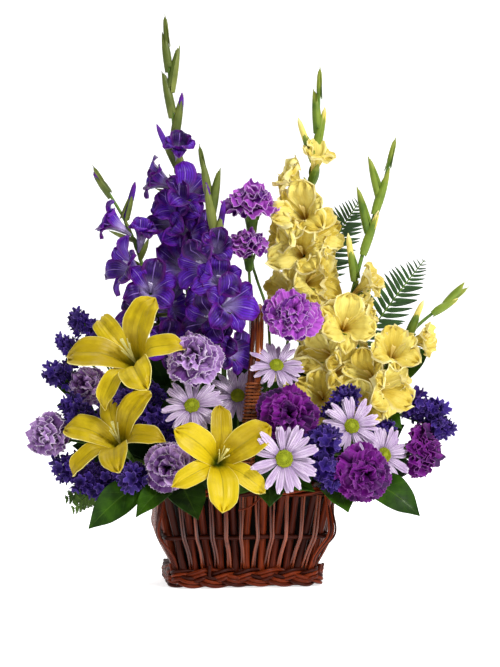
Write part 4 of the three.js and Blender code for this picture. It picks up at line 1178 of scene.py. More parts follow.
@dataclass
class Basket:
    """The woven basket: foot, side rods, rail, thin pairs and rim.

    Attributes:
        foot, rim: the plait and the rope that the sides run between.
        bed: the rope inside the foot.
        low, high: the heights at which the sides are as wide as the foot and the rim.
        bottom, top, rail: the heights of the rods' ends and of the rail.
    """

    foot: Rope = Rope(92, 64, 20, 13.3, 11.4, 2.7)
    plait: Plait = Plait(97, 69, 24, 13.4, 11.4, 2.6, turns=7, steps=260)
    bed: Rope = Rope(86, 58, 16, 10.5, 8.5, 2.5, rods_in_group=2, turns=6)
    rim: Rope = Rope(113, 79, 22, 125, 6.0, 2.2, rods_in_group=2, turns=6)
    low: float = 27.0
    high: float = 117.6
    bottom: float = 22.0
    top: float = 121.0
    rail: float = 67.0
    rod: float = 4.9
    strip: float = 1.5
    rail_radius: float = 3.0
    along_width: int = 11
    along_depth: int = 7
    lean: float = 0.08

    def half_sizes(self, height: float) -> tuple[float, float]:
        """Half the width and half the depth of the sides at a height."""
        rise = (height - self.low) / (self.high - self.low)
        return (
            self.foot.half_width + (self.rim.half_width - self.foot.half_width) * rise,
            self.foot.half_depth + (self.rim.half_depth - self.foot.half_depth) * rise,
        )

    def side_point(self, face: int, share: float, height: float, outward: float) -> Array:
        """A point on one of the four sides, which lean out from the foot to the rim."""
        width, depth = self.half_sizes(height)
        half, out = (depth, width) if face % 2 else (width, depth)
        along = (share * 2 - 1) * (half - 8)
        x, y = along, -(out + outward)
        for _ in range(face):
            x, y = -y, x
        return np.array([x, y, height])

    def uprights(self, random: Draws) -> list[Line]:
        """The stout rods."""
        lines = []
        for face in range(4):
            count = self.along_depth if face % 2 else self.along_width
            step = 1 / (count - 1)
            for i in range(count):
                corner = i in (0, count - 1)
                if corner and face % 2:
                    continue
                share = i * step
                shift = 0 if corner else self.lean * step * (1 if i % 2 else -1)
                low = self.side_point(face, share - shift, self.bottom, -0.5)
                high = self.side_point(face, share + shift, self.top, -0.5)
                middle = (low + high) / 2 + random.normal(0, 0.6, 3)
                points = Route((tuple(low), tuple(middle), tuple(high))).sample(9)
                swell = 1 + 0.07 * np.sin(np.linspace(0, 5, 9) + random.uniform(0, 6))
                lines.append(Line(points, self.rod * random.uniform(0.93, 1.06) * swell, random.random()))
        return lines

    def thin_pairs(self, random: Draws) -> list[Line]:
        """The thin rods, two to a gap, that kink over the rail."""
        lines = []
        over = self.rod + self.rail_radius * 1.7 + self.strip
        for face in range(4):
            count = self.along_depth if face % 2 else self.along_width
            step = 1 / (count - 1)
            for i in range(count - 1):
                for side in (-1, 1):
                    share = (i + 0.5 + random.uniform(-0.06, 0.06)) * step + side * 0.075 * step
                    inner = 0.5 + (share - 0.5) * 0.96
                    drift = random.uniform(-0.05, 0.05) * step
                    kink = (0.09 if i + 0.5 > (count - 1) / 2 else -0.09) * step
                    points = [
                        self.side_point(face, share - kink * 0.9 + side * 0.05 * step, self.bottom + 1, 0.5),
                        self.side_point(face, share - kink * 0.5, 48, over * 0.76),
                        self.side_point(face, share + kink, self.rail - 2, over),
                        self.side_point(face, share + kink, self.rail + 2, over),
                        self.side_point(face, share + kink * 0.3, 84, over * 0.8),
                        self.side_point(face, inner + drift, self.top, 1.0),
                    ]
                    route = Route(tuple(map(tuple, points)))
                    radius = self.strip * random.uniform(0.9, 1.15)
                    # The thin rods' tints run high, so they take more of the lighter streaks: partly their
                    # own paler wood, partly painted highlight.
                    lines.append(Line.even(route.sample(17), radius, 0.55 + 0.45 * random.random()))
        return lines

    def corner_rods(self, random: Draws) -> list[Line]:
        """The thin rods that bulge round each corner over the rail."""
        lines = []
        for face in range(4):
            for k in range(4):
                outward = 2.0 + 1.5 * k
                spread = 3.5 * (k - 1.5)
                bulge = 15.0 + 1.2 * k
                points = []
                for height, reach in ((self.bottom, 1.0), (42, 3.0), (62, bulge * 0.85), (self.rail, bulge),
                                      (76, bulge), (92, bulge * 0.6), (108, 2.0), (self.top, -4.0)):
                    at = self.side_point(face, 1.0, height, 0)
                    away = unit(np.array([at[0], at[1], 0.0]))
                    across = np.array([-away[1], away[0], 0.0])
                    points.append(tuple(at + away * (reach + outward * 0.2) + across * spread))
                lines.append(Line.even(Route(tuple(points)).sample(16), self.strip * 0.95, random.random()))
        return lines

    def rails(self, random: Draws) -> list[Line]:
        """The rail round the sides."""
        out = self.rod + self.rail_radius * 0.7
        width, depth = self.half_sizes(self.rail)
        path = Rope(width + out, depth + out, 16, self.rail, 1, 1, steps=90).path()
        path[:, 2] += 0.5 * np.sin(np.linspace(0, 16 * math.pi, len(path), endpoint=False))
        return [Line.even(path, self.rail_radius, random.random(), True)]

    def ends(self, random: Draws) -> list[Line]:
        """A bent twig under the rim, and cut ends of strands that stand out of the foot."""
        twig = Route(((-14, -86, 103), (-4, -91, 106), (6, -92, 112), (14, -90, 120)))
        lines = [Line.even(twig.sample(10), 1.3, 0.8)]
        for x, y, z, lean in ((-52, -76, 16, 4), (97, -60, 14, 3), (101, -52, 14, 4), (-99, -50, 16, -3),
                              (60, 74, 16, 3), (-30, 76, 15, -4)):
            low = np.array([x * 0.97, y * 0.97, z])
            high = np.array([x + lean * 0.3, y, z + 15])
            lines.append(Line.even(np.linspace(low, high, 4), 2.2, random.random()))
        return lines

    def build(self, bench: Bench) -> None:
        """Makes the basket's pieces and dresses what stays of the solids."""
        random = seeded("basket")
        foot = self.plait.strands(random) + self.bed.strands(random) + self.ends(random)
        bench.rods("basket_foot_strands", foot, WILLOW, "basket_foot_braid", sides=7)
        bench.rods("basket_rim_strands", self.rim.strands(random), WILLOW, "basket_rim", sides=7)
        bench.rods("basket_uprights", self.uprights(random), WILLOW, "basket_side_rods", sides=9)
        bench.rods("basket_rail", self.rails(random), WILLOW, "basket_side_rods")
        bench.rods("basket_thin_pairs", self.thin_pairs(random), THIN_WILLOW, "basket_side_rods")
        bench.rods("basket_corner_rods", self.corner_rods(random), WILLOW, "basket_side_rods")
        for node, finish in (("basket_base", WILLOW), ("liner", LINER), ("foam_block", FOAM)):
            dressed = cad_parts[node]
            dressed.data.materials.clear()
            dressed.data.materials.append(bench.paint(finish))
            log.info("%s: dressed", node)


@dataclass
class HoopHandle:
    """Two stout rods side by side bent into a hoop, with thin cane wound round each leg."""

    route: tuple[Point, ...] = (
        (-4, -61, 62), (-4, -67, 130), (2, -79, 215), (10, -72, 300), (16, -40, 353), (19, 0, 368),
        (23, 40, 353), (27, 72, 300), (19, 79, 215), (4, 67, 130), (0, 61, 62),
    )
    rod: float = 5.5
    apart: float = 3.1
    cane: float = 1.6
    bound: tuple[float, float] = (118.0, 268.0)
    wind: float = 4.4

    def frames(self, count: int) -> tuple[Array, Array, Array]:
        """The middle line with the directions across and over it."""
        middle = Route(self.route).sample(count)
        along = unit(np.gradient(middle, axis=0))
        side = unit(np.array([1.0, 0.0, 0.0]) - along * along[:, :1])
        return middle, side, np.cross(along, side)

    def build(self, bench: Bench) -> None:
        """Makes the two rods and the winding."""
        random = seeded("handle")
        middle, side, over = self.frames(70)
        rods = []
        # The left rod gets a low tint and the right rod a high one: painted shade on the left rod and painted
        # light on the right, as the light falls from the right.
        for sign, tint in ((-1, 0.3), (1, 0.8)):
            sway = 0.35 * np.sin(np.linspace(0, 9, len(middle)) + random.uniform(0, 6))
            points = middle + side * (sign * self.apart + sway)[:, None]
            swell = self.rod * (1 + 0.05 * np.sin(np.linspace(0, 14, len(middle)) + random.uniform(0, 6)))
            rods.append(Line(points, swell, tint))
        bench.rods("handle_rods", rods, HANDLE_WILLOW, "basket_handle", sides=12)
        fine, side, over = self.frames(2400)
        run = np.concatenate([[0], np.cumsum(np.linalg.norm(np.diff(fine, axis=0), axis=1))])
        turn = 2 * math.pi * run / self.wind
        half_width, half_depth = self.apart + self.rod + self.cane * 0.8, self.rod + self.cane * 0.8
        loop = fine + side * (half_width * np.cos(turn))[:, None] + over * (half_depth * np.sin(turn))[:,
                                                                                                       None]
        bound = (fine[:, 2] > self.bound[0]) & (fine[:, 2] < self.bound[1])
        cane = []
        for leg in (fine[:, 1] < 0, fine[:, 1] > 0):
            cane.append(Line.even(loop[bound & leg], self.cane, 0.7))
        bench.rods("handle_cane", cane, CANE, "basket_handle", sides=5)


# Stems


FOAM_STEM_DEPTH = 30.0


@dataclass(frozen=True)
class Bloom:
    """Where a bloom's middle is, which way it faces and where its stem enters the foam."""

    head: Point
    azimuth: float
    elevation: float
    seat: Point
    size: float = 1.0
    roll: float = 0.0
    via: Point | None = None

    @property
    def out(self) -> Array:
        """The unit vector that it faces."""
        return facing(self.azimuth, self.elevation)

    @property
    def axes(self) -> Array:
        """Its own axes as columns."""
        return bloom_axes(self.out, self.roll)

    def behind(self, distance: float) -> Array:
        """A point behind the head, in the bloom's own millimetres."""
        return vec(self.head) - self.out * distance * self.size


def stem_route(seat: Point, neck: Array, axis: Array, via: Point | None = None, count: int = 12) -> Array:
    """A stem's middle line: straight in the foam, then a smooth bend to where it meets its bloom.

    Args:
        seat: where it enters the foam.
        neck: where it ends.
        axis: the direction in which it ends.
        via: a point that it passes, if any.
        count: how many points the bend has.

    Returns:
        Points from inside the foam to the neck.
    """
    start = vec(seat)
    deep = np.array([start[0] * 0.62, start[1] * 0.5, 70.0 if start[2] > 154 else 118.0])
    out = unit(start - deep)
    inner, leave = start - out * FOAM_STEM_DEPTH, start + out * 6
    reach = np.linalg.norm(neck - leave) / 3
    if via is not None:
        bend = Route((tuple(leave), tuple(via), tuple(neck - axis * reach * 0.4), tuple(neck))).sample(count)
    else:
        bend = bezier(leave, leave + out * reach, neck - axis * reach, neck, count)
    return np.concatenate([[inner], bend])


# Lilies


@dataclass
class Lily:
    """A yellow lily: three broad petals over three narrow ones, six stamens and a style."""

    name: str
    bloom: Bloom
    stem: float = 3.0
    broad: Petal = Petal(
        profile=((2, -12), (9, 3), (23, 26), (43, 42), (64, 46), (83, 36)),
        shares=(0, 0.2, 0.4, 0.6, 0.78, 0.9, 0.96, 1),
        widths=(2.2, 11.5, 19, 24, 22, 14.5, 8, 0.8),
        wrap=0.7, open_out=0.2, cup=0.1, ruffle=4.2, frill=0.7, waves=2.5, crease=2.6, thickness=1.0,
        rows=19, columns=17,
    )
    narrow: Petal = Petal(
        profile=((2, -12), (9, 1), (24, 22), (46, 34), (67, 32), (83, 17)),
        shares=(0, 0.2, 0.4, 0.6, 0.78, 0.9, 0.96, 1),
        widths=(2.2, 9, 14, 16.5, 15, 9.5, 5, 0.6),
        wrap=0.7, open_out=0.2, cup=0.14, ruffle=2.8, frill=0.7, waves=2.1, crease=2.2, thickness=1.0,
        rows=19, columns=15,
    )

    def build(self, bench: Bench) -> None:
        """Makes the bloom, its heart and its stem."""
        random = seeded(self.name)
        local = Shape()
        for i in range(6):
            form = self.broad if i % 2 else self.narrow
            turn = math.pi / 2 - i * math.pi / 3
            stretch = random.uniform(0.95, 1.02)
            form.grow(local, turn + random.uniform(-0.1, 0.1), random, stretch, random.uniform(-2, 5))
        whole = Shape()
        whole.put(local, self.bloom.axes, vec(self.bloom.head), self.bloom.size)
        bench.keep(self.name + "_petals", whole.mesh(self.name), LILY_PETAL, self.name + "_bloom")
        bench.rods(self.name + "_heart", self.heart(random), LILY_HEART, self.name + "_bloom", sides=7)
        neck = self.bloom.behind(14.0)
        route = stem_route(self.bloom.seat, neck - self.bloom.out * 14, self.bloom.out, self.bloom.via)
        points = np.concatenate([route, [neck]])
        radii = np.full(len(points), self.stem)
        radii[-3:] = [3.2, 3.6, 4.4]
        bench.rods(self.name + "_stalk", [Line(points, radii)], STEM_GREEN, self.name + "_stem")

    def heart(self, random: Draws) -> list[Line]:
        """The six stamens and the style with its thickened tip."""
        lines = []
        axes, head, size = self.bloom.axes, vec(self.bloom.head), self.bloom.size
        for i in range(7):
            style = i == 6
            turn = i * math.pi / 3 + 0.5 + random.uniform(-0.2, 0.2)
            spread, rise = (2, 47) if style else (8.5, 36 + random.uniform(-3, 3))
            tip = np.array([spread * math.cos(turn) + 4, spread * math.sin(turn) + 9, rise])
            points = bezier(np.array([0, 0, -8.0]), np.array([0, 0, 8.0]), tip * [0.5, 0.5, 0.7], tip, 8)
            radii = np.full(8, 1.25 if style else 0.85)
            if style:
                radii[-2:] = [2.0, 2.6]
            lines.append(Line(points * size @ axes.T + head, radii * size, 0.4 + 0.5 * random.random()))
        return lines


# Carnations


@dataclass
class Carnation:
    """A carnation: rings of frilled, toothed petals that crowd towards the middle, over a green calyx."""

    name: str
    bloom: Bloom
    finish: PetalFinish
    radius: float = 37.0
    rings: tuple[tuple[int, float, float], ...] = (
        (7, 1.12, -3.0), (7, 1.0, 5.0), (6, 0.8, 13.0), (5, 0.56, 18.0), (4, 0.3, 21.0),
    )

    def petals(self, random: Draws) -> Shape:
        """All its petals, facing +Z."""
        shape = Shape()
        for ring, (count, reach, tall) in enumerate(self.rings):
            start = random.uniform(0, 2 * math.pi)
            for k in range(count):
                end = self.radius * reach * random.uniform(0.74, 1.1)
                rise = tall + random.uniform(-6, 6)
                width = (24.0 - 2.2 * ring) * random.uniform(0.85, 1.2)
                form = Petal(
                    profile=((2.5, -18), (4.5, -7), (max(end * 0.34, 3.5), rise * 0.45 - 1),
                             (end * 0.7, rise * 0.95),
                             (end, rise)),
                    shares=(0, 0.22, 0.5, 0.78, 1),
                    widths=(1.6, 2.8, width * 0.5, width * 0.9, width),
                    wrap=0.8,
                    open_out=0.45,
                    ruffle=random.uniform(6.0, 8.5),
                    waves=random.uniform(1.9, 2.7),
                    toothed=0.04,
                    round_tip=random.uniform(0.12, 0.26),
                    thickness=0.6,
                    rows=10,
                    columns=23,
                )
                turn = start + 2 * math.pi * (k + random.uniform(-0.25, 0.25)) / count
                form.grow(shape, turn, random)
        return shape

    def build(self, bench: Bench) -> None:
        """Makes the bloom and its stem with the calyx."""
        random = seeded(self.name)
        whole = Shape()
        whole.put(self.petals(random), self.bloom.axes, vec(self.bloom.head), self.bloom.size)
        bench.keep(self.name + "_petals", whole.mesh(self.name), self.finish, self.name + "_bloom")
        cup = [(44, 2.1), (42.5, 4.6), (39, 6.6), (32, 7.6), (25, 8.7), (17, 10.2)]
        size = self.bloom.size
        route = stem_route(self.bloom.seat, self.bloom.behind(cup[0][0]), self.bloom.out, self.bloom.via)
        points = np.concatenate([route, [self.bloom.behind(d) for d, _ in cup[1:]]])
        radii = np.concatenate([np.full(len(route), 2.0), [r * size for _, r in cup[1:]]])
        stalk = [Line(points, radii, 0.4)]
        for k in range(5):
            turn = 2 * math.pi * k / 5 + 0.3
            side = self.bloom.axes @ np.array([math.cos(turn), math.sin(turn), 0])
            base, tip = self.bloom.behind(22) + side * 7.4 * size, self.bloom.behind(11) + side * 11.5 * size
            stalk.append(Line(np.linspace(base, tip, 4), np.array([2.8, 2.5, 1.7, 0.3]) * size, 0.6))
        bench.rods(self.name + "_stalk", stalk, STEM_GREEN, self.name + "_stem", sides=9)


# Daisies


@dataclass
class DaisySpray:
    """A branched stem with a daisy at the end of each branch."""

    name: str
    seat: Point
    fork: Point
    heads: dict[str, Bloom]
    ray_length: float = 34.5
    hole: float = 6.6
    disc: float = 10.4
    rays: int = 17

    def ray(self) -> Shape:
        """One ray petal along +X, facing +Z, grooved and notched at its tip."""
        rows, columns = 8, 7
        along = np.linspace(0, 1, rows)
        across = np.linspace(-1, 1, columns)
        width = eased((0, 0.25, 0.6, 0.86, 1), (1.5, 3.2, 4.4, 3.9, 2.2))(along)
        notch = np.array([0.12, 0.03, 0.0, 0.045, 0.0, 0.03, 0.12])
        x = along[:, None] * (1 - notch * along[:, None] ** 4) * self.ray_length
        y = width[:, None] * across[None, :]
        arch = 2.4 * np.sin(math.pi * along)[:, None] - 0.9 * (across[None, :] ** 2) * along[:, None]
        grooves = 0.45 * np.cos(across * 2 * math.pi)[None, :] * np.sin(math.pi * along)[:, None]
        shape = Shape()
        grow_shell(shape, np.stack([x + 0 * y, y, arch + grooves], -1), 0.6, 0.5)
        return shape

    def floret(self) -> Shape:
        """One bud of the disc: a low closed knob along +Z."""
        shape = Shape()
        centres = np.array([[0, 0, -0.6], [0, 0, 0.5], [0, 0, 1.2]])
        grow_spindle(shape, centres, np.array([0.6, 0.72, 0.36]), 0.5, sides=6)
        return shape

    def build(self, bench: Bench) -> None:
        """Makes the stem, the discs and each head's rays."""
        random = seeded(self.name)
        ray = bench.item(self.name + "_ray", self.ray())
        knob = bench.item(self.name + "_knob", self.floret())
        middle = vec(self.fork)
        trunk = stem_route(self.seat, middle, unit(middle - vec(self.seat)), count=8)
        lines = [Line.even(trunk, 2.3)]
        discs = Shape()
        knobs: list[bpy.types.Mesh] = []
        empty = bpy.data.meshes.new("empty")
        for head, bloom in self.heads.items():
            at = lambda z: vec(bloom.head) + bloom.out * z * bloom.size
            base = at(-14)
            bend = bezier(middle - bloom.out * 4, middle + (base - middle) * 0.4, base - bloom.out * 14,
                          base, 9)
            cup = [(-9, 3.2), (-5.5, 6.0), (-2.2, 6.4)]
            points = np.concatenate([bend, [at(z) for z, _ in cup]])
            radii = np.concatenate([np.full(len(bend), 1.7), [r * bloom.size for _, r in cup]])
            lines.append(Line(points, radii, 0.6))
            rings = []
            for count, lift, height, start in ((self.rays, 0.06, -1.4, 0.0),
                                               (self.rays // 2, 0.22, -0.6, 0.19)):
                made = bench.ring.run(
                    empty.copy(), Item=ray, Count=count, Hole=self.hole, Height=height, Lift=lift,
                    Spread=0.17,
                    Start=start, Seed=seed_number(head + str(count)), Material=bench.paint(DAISY_RAY),
                )
                rings.append(self.settled(made, bloom))
            joined = self.joined(rings)
            joined.set_sharp_from_angle(angle=SHARP)
            bench.keep(head + "_petals", joined, DAISY_RAY, head + "_rays")
            dome = Shape()
            turn = np.linspace(0, math.pi / 2, 6)
            centres = np.stack([0 * turn, 0 * turn, 0.6 + 5.2 * np.sin(turn)], -1)
            grow_spindle(dome, centres, np.maximum(self.disc * np.cos(turn) ** 0.8, 0.4), 0.5, sides=20)
            discs.put(dome, bloom.axes, vec(bloom.head), bloom.size)
            florets = bench.spiral.run(
                empty.copy(), Item=knob, Count=110, Radius=self.disc * 0.98, Dome=5.6, Size=1.1,
                Seed=seed_number(head), Material=bench.paint(DAISY_DISC),
            )
            knobs.append(self.settled(florets, bloom))
        knobs.append(discs.mesh("domes"))
        bench.keep(self.name + "_discs", self.joined(knobs), DAISY_DISC, self.name + "_stem")
        bench.rods(self.name + "_branches", lines, STEM_GREEN, self.name + "_stem")

    @staticmethod
    def settled(mesh: bpy.types.Mesh, bloom: Bloom) -> bpy.types.Mesh:
        """A mesh of a bloom's own millimetres, moved to the bloom's place in metres."""
        count = len(mesh.vertices)
        points = np.empty(count * 3, np.float32)
        mesh.vertices.foreach_get("co", points)
        placed = (points.reshape(-1, 3) * bloom.size @ bloom.axes.T + vec(bloom.head)) * MM
        mesh.vertices.foreach_set("co", placed.ravel().astype(np.float32))
        mesh.update()
        return mesh

    @staticmethod
    def joined(meshes: Sequence[bpy.types.Mesh]) -> bpy.types.Mesh:
        """Several meshes as one."""
        objects = []
        for mesh in meshes:
            made = bpy.data.objects.new("part", mesh)
            bpy.context.scene.collection.objects.link(made)
            objects.append(made)
        with bpy.context.temp_override(
            active_object=objects[0], object=objects[0], selected_objects=objects,
            selected_editable_objects=objects
        ):
            bpy.ops.object.join()
        mesh = objects[0].data
        bpy.data.objects.remove(objects[0])
        return mesh


# Gladioli


@dataclass
class Gladiolus:
    """A gladiolus spike: its stem, open florets over green sheaths, and the buds up to its tip.

    Attributes:
        route: from the foam to the tip.
        florets: (height on the stem, azimuth, elevation, size, openness).
        buds: (height on the stem, azimuth, elevation).
    """

    name: str
    slot: Slot
    route: tuple[Point, ...]
    florets: tuple[tuple[float, float, float, float, float], ...]
    buds: tuple[tuple[float, float, float], ...]

    @property
    def looks(self) -> tuple[PetalFinish, PetalFinish, GreenFinish, float]:
        """Its petals', heart's and sheaths' finishes, and how much its petals ruffle."""
        if self.slot is Slot.PURPLE:
            return PURPLE_PETAL, PURPLE_HEART, PURPLE_SHEATH, 3.8
        return YELLOW_PETAL, YELLOW_HEART, YELLOW_SHEATH, 8.0

    def floret(self, random: Draws, openness: float, ruffle: float) -> Shape:
        """One floret facing +Z from its seat on the stem: upper petals forward, lower ones back."""
        spread = math.sqrt(openness)
        tall = 1.25 - 0.25 * openness
        broad = 1.0 if self.slot is Slot.PURPLE else 1.25
        shape = Shape()
        for i in range(6):
            inner = i % 2 == 0
            turn = math.pi / 2 + i * math.pi / 3
            hood = (0.55 + 0.45 * math.sin(turn)) * 0.7 + random.uniform(-0.2, 0.2)
            reach = (1.0 if inner else 0.95) * random.uniform(0.92, 1.06)
            back = 0.0 if inner else -2.5
            profile = (
                (1.8, 0), (3.6 + spread, 12 * tall), (9 * spread + 1, (24 + back * 0.3) * tall),
                (19 * spread, (35 + back + 4 * hood) * tall),
                (30 * spread * reach, (39 + back + 11 * hood) * tall),
                ((43 - 6 * hood) * spread * reach, (32 + back + 20 * hood) * tall),
            )
            wide = (17.5 if inner else 13.0) * broad
            form = Petal(
                profile=profile,
                shares=(0, 0.22, 0.45, 0.66, 0.82, 0.94, 1),
                widths=(1.6, 3.6, 10.0, wide, wide * 0.9, wide * 0.46, 0.6),
                wrap=0.9,
                open_out=0.25 if openness > 0.6 else 0.8,
                cup=0.12 * hood,
                ruffle=ruffle * random.uniform(0.8, 1.2),
                frill=0.8,
                waves=2.1 if self.slot is Slot.PURPLE else 3.4,
                toothed=0.0 if self.slot is Slot.PURPLE else 0.03,
                crease=1.0,
                thickness=0.7,
                rows=15,
                columns=13 if self.slot is Slot.PURPLE else 21,
            )
            form.grow(shape, turn + random.uniform(-0.12, 0.12), random, 1.0, 1.3 if inner else 0.0)
        return shape

    def bract(self, shape: Shape, base: Array, tip: Array, away: Array, width: float, random: Draws,
              hug: float = 0.9) -> None:
        """Adds one pointed green sheath that wraps half round what it holds.

        Args:
            shape: the spike's sheaths.
            base: where it grows.
            tip: where it ends.
            away: the direction in which its back faces.
            width: its half width.
            random: draws its shade.
            hug: how far it wraps.
        """
        along = np.linspace(0, 1, 8)
        across = np.linspace(-1, 1, 7)
        spread = eased((0, 0.25, 0.6, 0.9, 1), (0.75, 1.0, 0.85, 0.32, 0.05))(along) * width
        line = base[None] + (tip - base)[None] * along[:, None]
        line = line + away[None] * (2.6 * np.sin(math.pi * along * 0.8))[:, None]
        side = unit(np.cross(unit(tip - base), away))
        angle = across * 1.35 * hug
        grid = (
            line[:, None]
            + side[None, None] * (np.sin(angle)[None, :] * spread[:, None])[..., None]
            - away[None, None] * ((1 - np.cos(angle))[None, :] * spread[:, None])[..., None]
        )
        grow_shell(shape, grid[:, ::-1], 0.7, random.random())

    def bud(self, shape: Shape, petals: Shape, base: Array, direction: Array, length: float, radius: float,
            stem_side: Array, random: Draws, colour: float) -> None:
        """Adds a bud: two sheaths, and the tip of its petals where colour is above 0."""
        tip = base + direction * length
        out = unit(direction - stem_side * np.dot(direction, stem_side))
        cover = 1.0 - 0.32 * min(colour, 1.0)
        for side, drop, share, width in ((out, -4, cover, 1.1), (-out, 3, cover - 0.1, 1.0)):
            foot = base + stem_side * drop + side * radius
            self.bract(shape, foot, base + direction * length * share + side * radius * 0.1, side,
                       radius * width,
                       random, 1.3)
        share = np.linspace(0, 1, 9)
        centres = base[None] + direction[None] * (length * (0.94 + 0.1 * colour) * share)[:, None]
        centres = centres + out[None] * (1.4 * np.sin(math.pi * share))[:, None]
        radii = radius * eased((0, 0.3, 0.7, 0.92, 1), (0.4, 0.8, 0.74, 0.5, 0.1))(share)
        grow_spindle(petals if colour > 0 else shape, centres, radii, random.random(), sides=8, flat=0.85,
                     start=0.62)

    def build(self, bench: Bench) -> None:
        """Makes the stem, the sheaths, the petals and the stamens."""
        random = seeded(self.name)
        petal_finish, heart_finish, sheath_finish, ruffle = self.looks
        curve = Route(self.route)
        seat, first = curve.at(0), curve.tangent(0)
        stem = np.concatenate([[seat - first * FOAM_STEM_DEPTH], curve.sample(30)])
        stem_line = Line(stem, np.linspace(4.0, 1.8, len(stem)))
        petals, sheaths = Shape(), Shape()
        hearts: list[Line] = []
        tip_height = self.route[-1][2]
        for height, azimuth, elevation, size, openness in self.florets:
            share = curve.share_at_height(height)
            at, rising = curve.at(share), curve.tangent(share)
            out = facing(azimuth, elevation)
            axes = bloom_axes(out, random.uniform(-14, 14))
            petals.put(self.floret(random, openness, ruffle), axes, at, size)
            under = -unit(rising - out * np.dot(rising, out))
            self.bract(sheaths, at - rising * 7 + under * 3, at + (out * 33 + under * 12) * size, under,
                       8.5 * size, random)
            self.bract(sheaths, at + rising * 5 - under * 2, at + (out * 25 - under * 12) * size, -under,
                       7.5 * size, random)
            if openness > 0.6:
                hearts += self.heart(axes, at, size, random)
        for k, (height, azimuth, elevation) in enumerate(self.buds):
            share = curve.share_at_height(height)
            at, rising = curve.at(share), curve.tangent(share)
            length = min(max((tip_height - height) * 0.42 + 30, 36), 62)
            colour = max(0.0, 0.7 - 0.45 * k)
            self.bud(sheaths, petals, at, facing(azimuth, elevation), length, 3.4 + length * 0.035, rising,
                     random,
                     colour)
        end = curve.tangent(1)
        self.bud(sheaths, petals, curve.at(1) - end * 22, end, 44, 4.6, unit(np.cross(end, [0, 1, 0])),
                 random, 0.0)
        bench.keep(self.name + "_petals", petals.mesh(self.name), petal_finish, self.name)
        bench.keep(self.name + "_sheaths", sheaths.mesh(self.name), sheath_finish, self.name)
        bench.rods(self.name + "_stalk", [stem_line], STEM_GREEN, self.name)
        bench.rods(self.name + "_stamens", hearts, heart_finish, self.name, sides=6)

    @staticmethod
    def heart(axes: Array, at: Array, size: float, random: Draws) -> list[Line]:
        """Three stamens that lean to the upper petal, and a style."""
        lines = []
        for k in range(4):
            turn = math.pi / 2 + (k - 1.5) * 0.35
            tip = np.array([4 * math.cos(turn) + random.uniform(-1, 1), 5 * math.sin(turn) + 2,
                            35 + (k == 3) * 4])
            points = bezier(np.array([0, 0, 8.0]), np.array([0, 2, 18.0]), tip * [1, 1, 0.75], tip, 6)
            radii = np.array([0.8, 0.8, 0.8, 1.0, 1.5, 0.9])
            lines.append(Line(points * size @ axes.T + at, radii * size, random.random()))
        return lines


# Statice


@dataclass
class StaticeSpray:
    """A statice spray: winged branches, each with a tight one-sided cluster of papery cups."""

    name: str
    seat: Point
    fork: Point
    sprigs: tuple[tuple[float, float, float, float], ...]
    cups: int = 9

    @staticmethod
    def cup() -> Shape:
        """One papery cup along +Z with a waved mouth."""
        sides = 15
        turn = np.linspace(0, 2 * math.pi, sides, endpoint=False)
        wave = np.tile([0.66, 1.0, 1.08], 5)
        rings = [(0.16, 0.0, 1), (0.3, 0.45, 1), (0.72, 0.95, 0), (0.5, 0.8, 0), (0.12, 0.35, 1)]
        points = np.concatenate(
            [
                np.stack([np.cos(turn) * r * (1 if even else wave), np.sin(turn) * r * (1 if even else wave),
                          np.full(sides, z) + (0 if even else (wave - 0.9) * 0.7)], -1)
                for r, z, even in rings
            ]
            + [np.array([[0, 0, 0.0], [0, 0, 0.3]])]
        )
        index = np.arange(len(rings) * sides).reshape(len(rings), sides)
        beside = np.roll(index, -1, axis=1)
        walls = np.stack([index[:-1], beside[:-1], beside[1:], index[1:]], -1).reshape(-1, 4)
        last = len(rings) * sides
        low = np.stack([index[0], np.full(sides, last), beside[0], beside[0]], -1)
        high = np.stack([index[-1], beside[-1], np.full(sides, last + 1), np.full(sides, last + 1)], -1)
        along = np.repeat([0.1, 0.45, 1.0, 0.8, 0.3], sides)
        places = np.stack([np.full(len(along), 0.5), along], -1)
        places = np.concatenate([places, [[0.5, 0.0], [0.5, 0.1]]])
        shape = Shape()
        shape.add(points, np.concatenate([walls, low, high]), places, 0.5)
        return shape

    def build(self, bench: Bench) -> None:
        """Makes the branches and the cups."""
        random = seeded(self.name)
        item = bench.item(self.name + "_cup", self.cup())
        middle = vec(self.fork)
        trunk = stem_route(self.seat, middle, unit(middle - vec(self.seat)), count=7)
        lines = [Line.even(trunk, 1.8, 0.5)]
        spots = []
        for x, y, z, spread in self.sprigs:
            centre = np.array([x, y, z])
            out = unit(centre - middle)
            side = unit(np.cross(out, [0.2, 1.0, 0.3]))
            over = np.cross(out, side)
            sag = bezier(middle - out * 2, middle + out * 10, centre - out * 10 - [0, 0, 4], centre, 7)
            lines.append(Line(sag, np.linspace(1.6, 1.1, 7), 0.6))
            heads = [(centre, 0.66)]
            for k in range(5):
                turn = k * GOLDEN_ANGLE
                away = side * math.cos(turn) + over * math.sin(turn)
                heads.append((centre - out * spread * (0.35 + 0.3 * k) + away * spread * (0.6 + 0.05 * k),
                              0.5))
            for place, share in heads:
                lines.append(Line(np.array([centre - out * spread * 1.7, place]), np.array([1.0, 0.8]), 0.5))
                for k in range(self.cups):
                    turn = k * GOLDEN_ANGLE
                    run = -0.9 + 1.8 * (k + 0.5) / self.cups
                    ring = math.sqrt(1 - run * run) * 0.7 + 0.1
                    away = side * math.cos(turn) + over * math.sin(turn)
                    base = place + (out * run * 1.15 + away * ring * 0.6) * spread * share
                    spots.append(Spot(base, unit(away + out * (0.5 + 0.7 * run)), out, spread * share * 1.25))
        bench.scatter(self.name + "_cups", spots, item, STATICE_CUP, self.name, size_spread=0.22,
                      twist_spread=1.5,
                      tilt_spread=0.35)
        bench.rods(self.name + "_branches", lines, STEM_GREEN, self.name, sides=6)


# Ferns and leaves


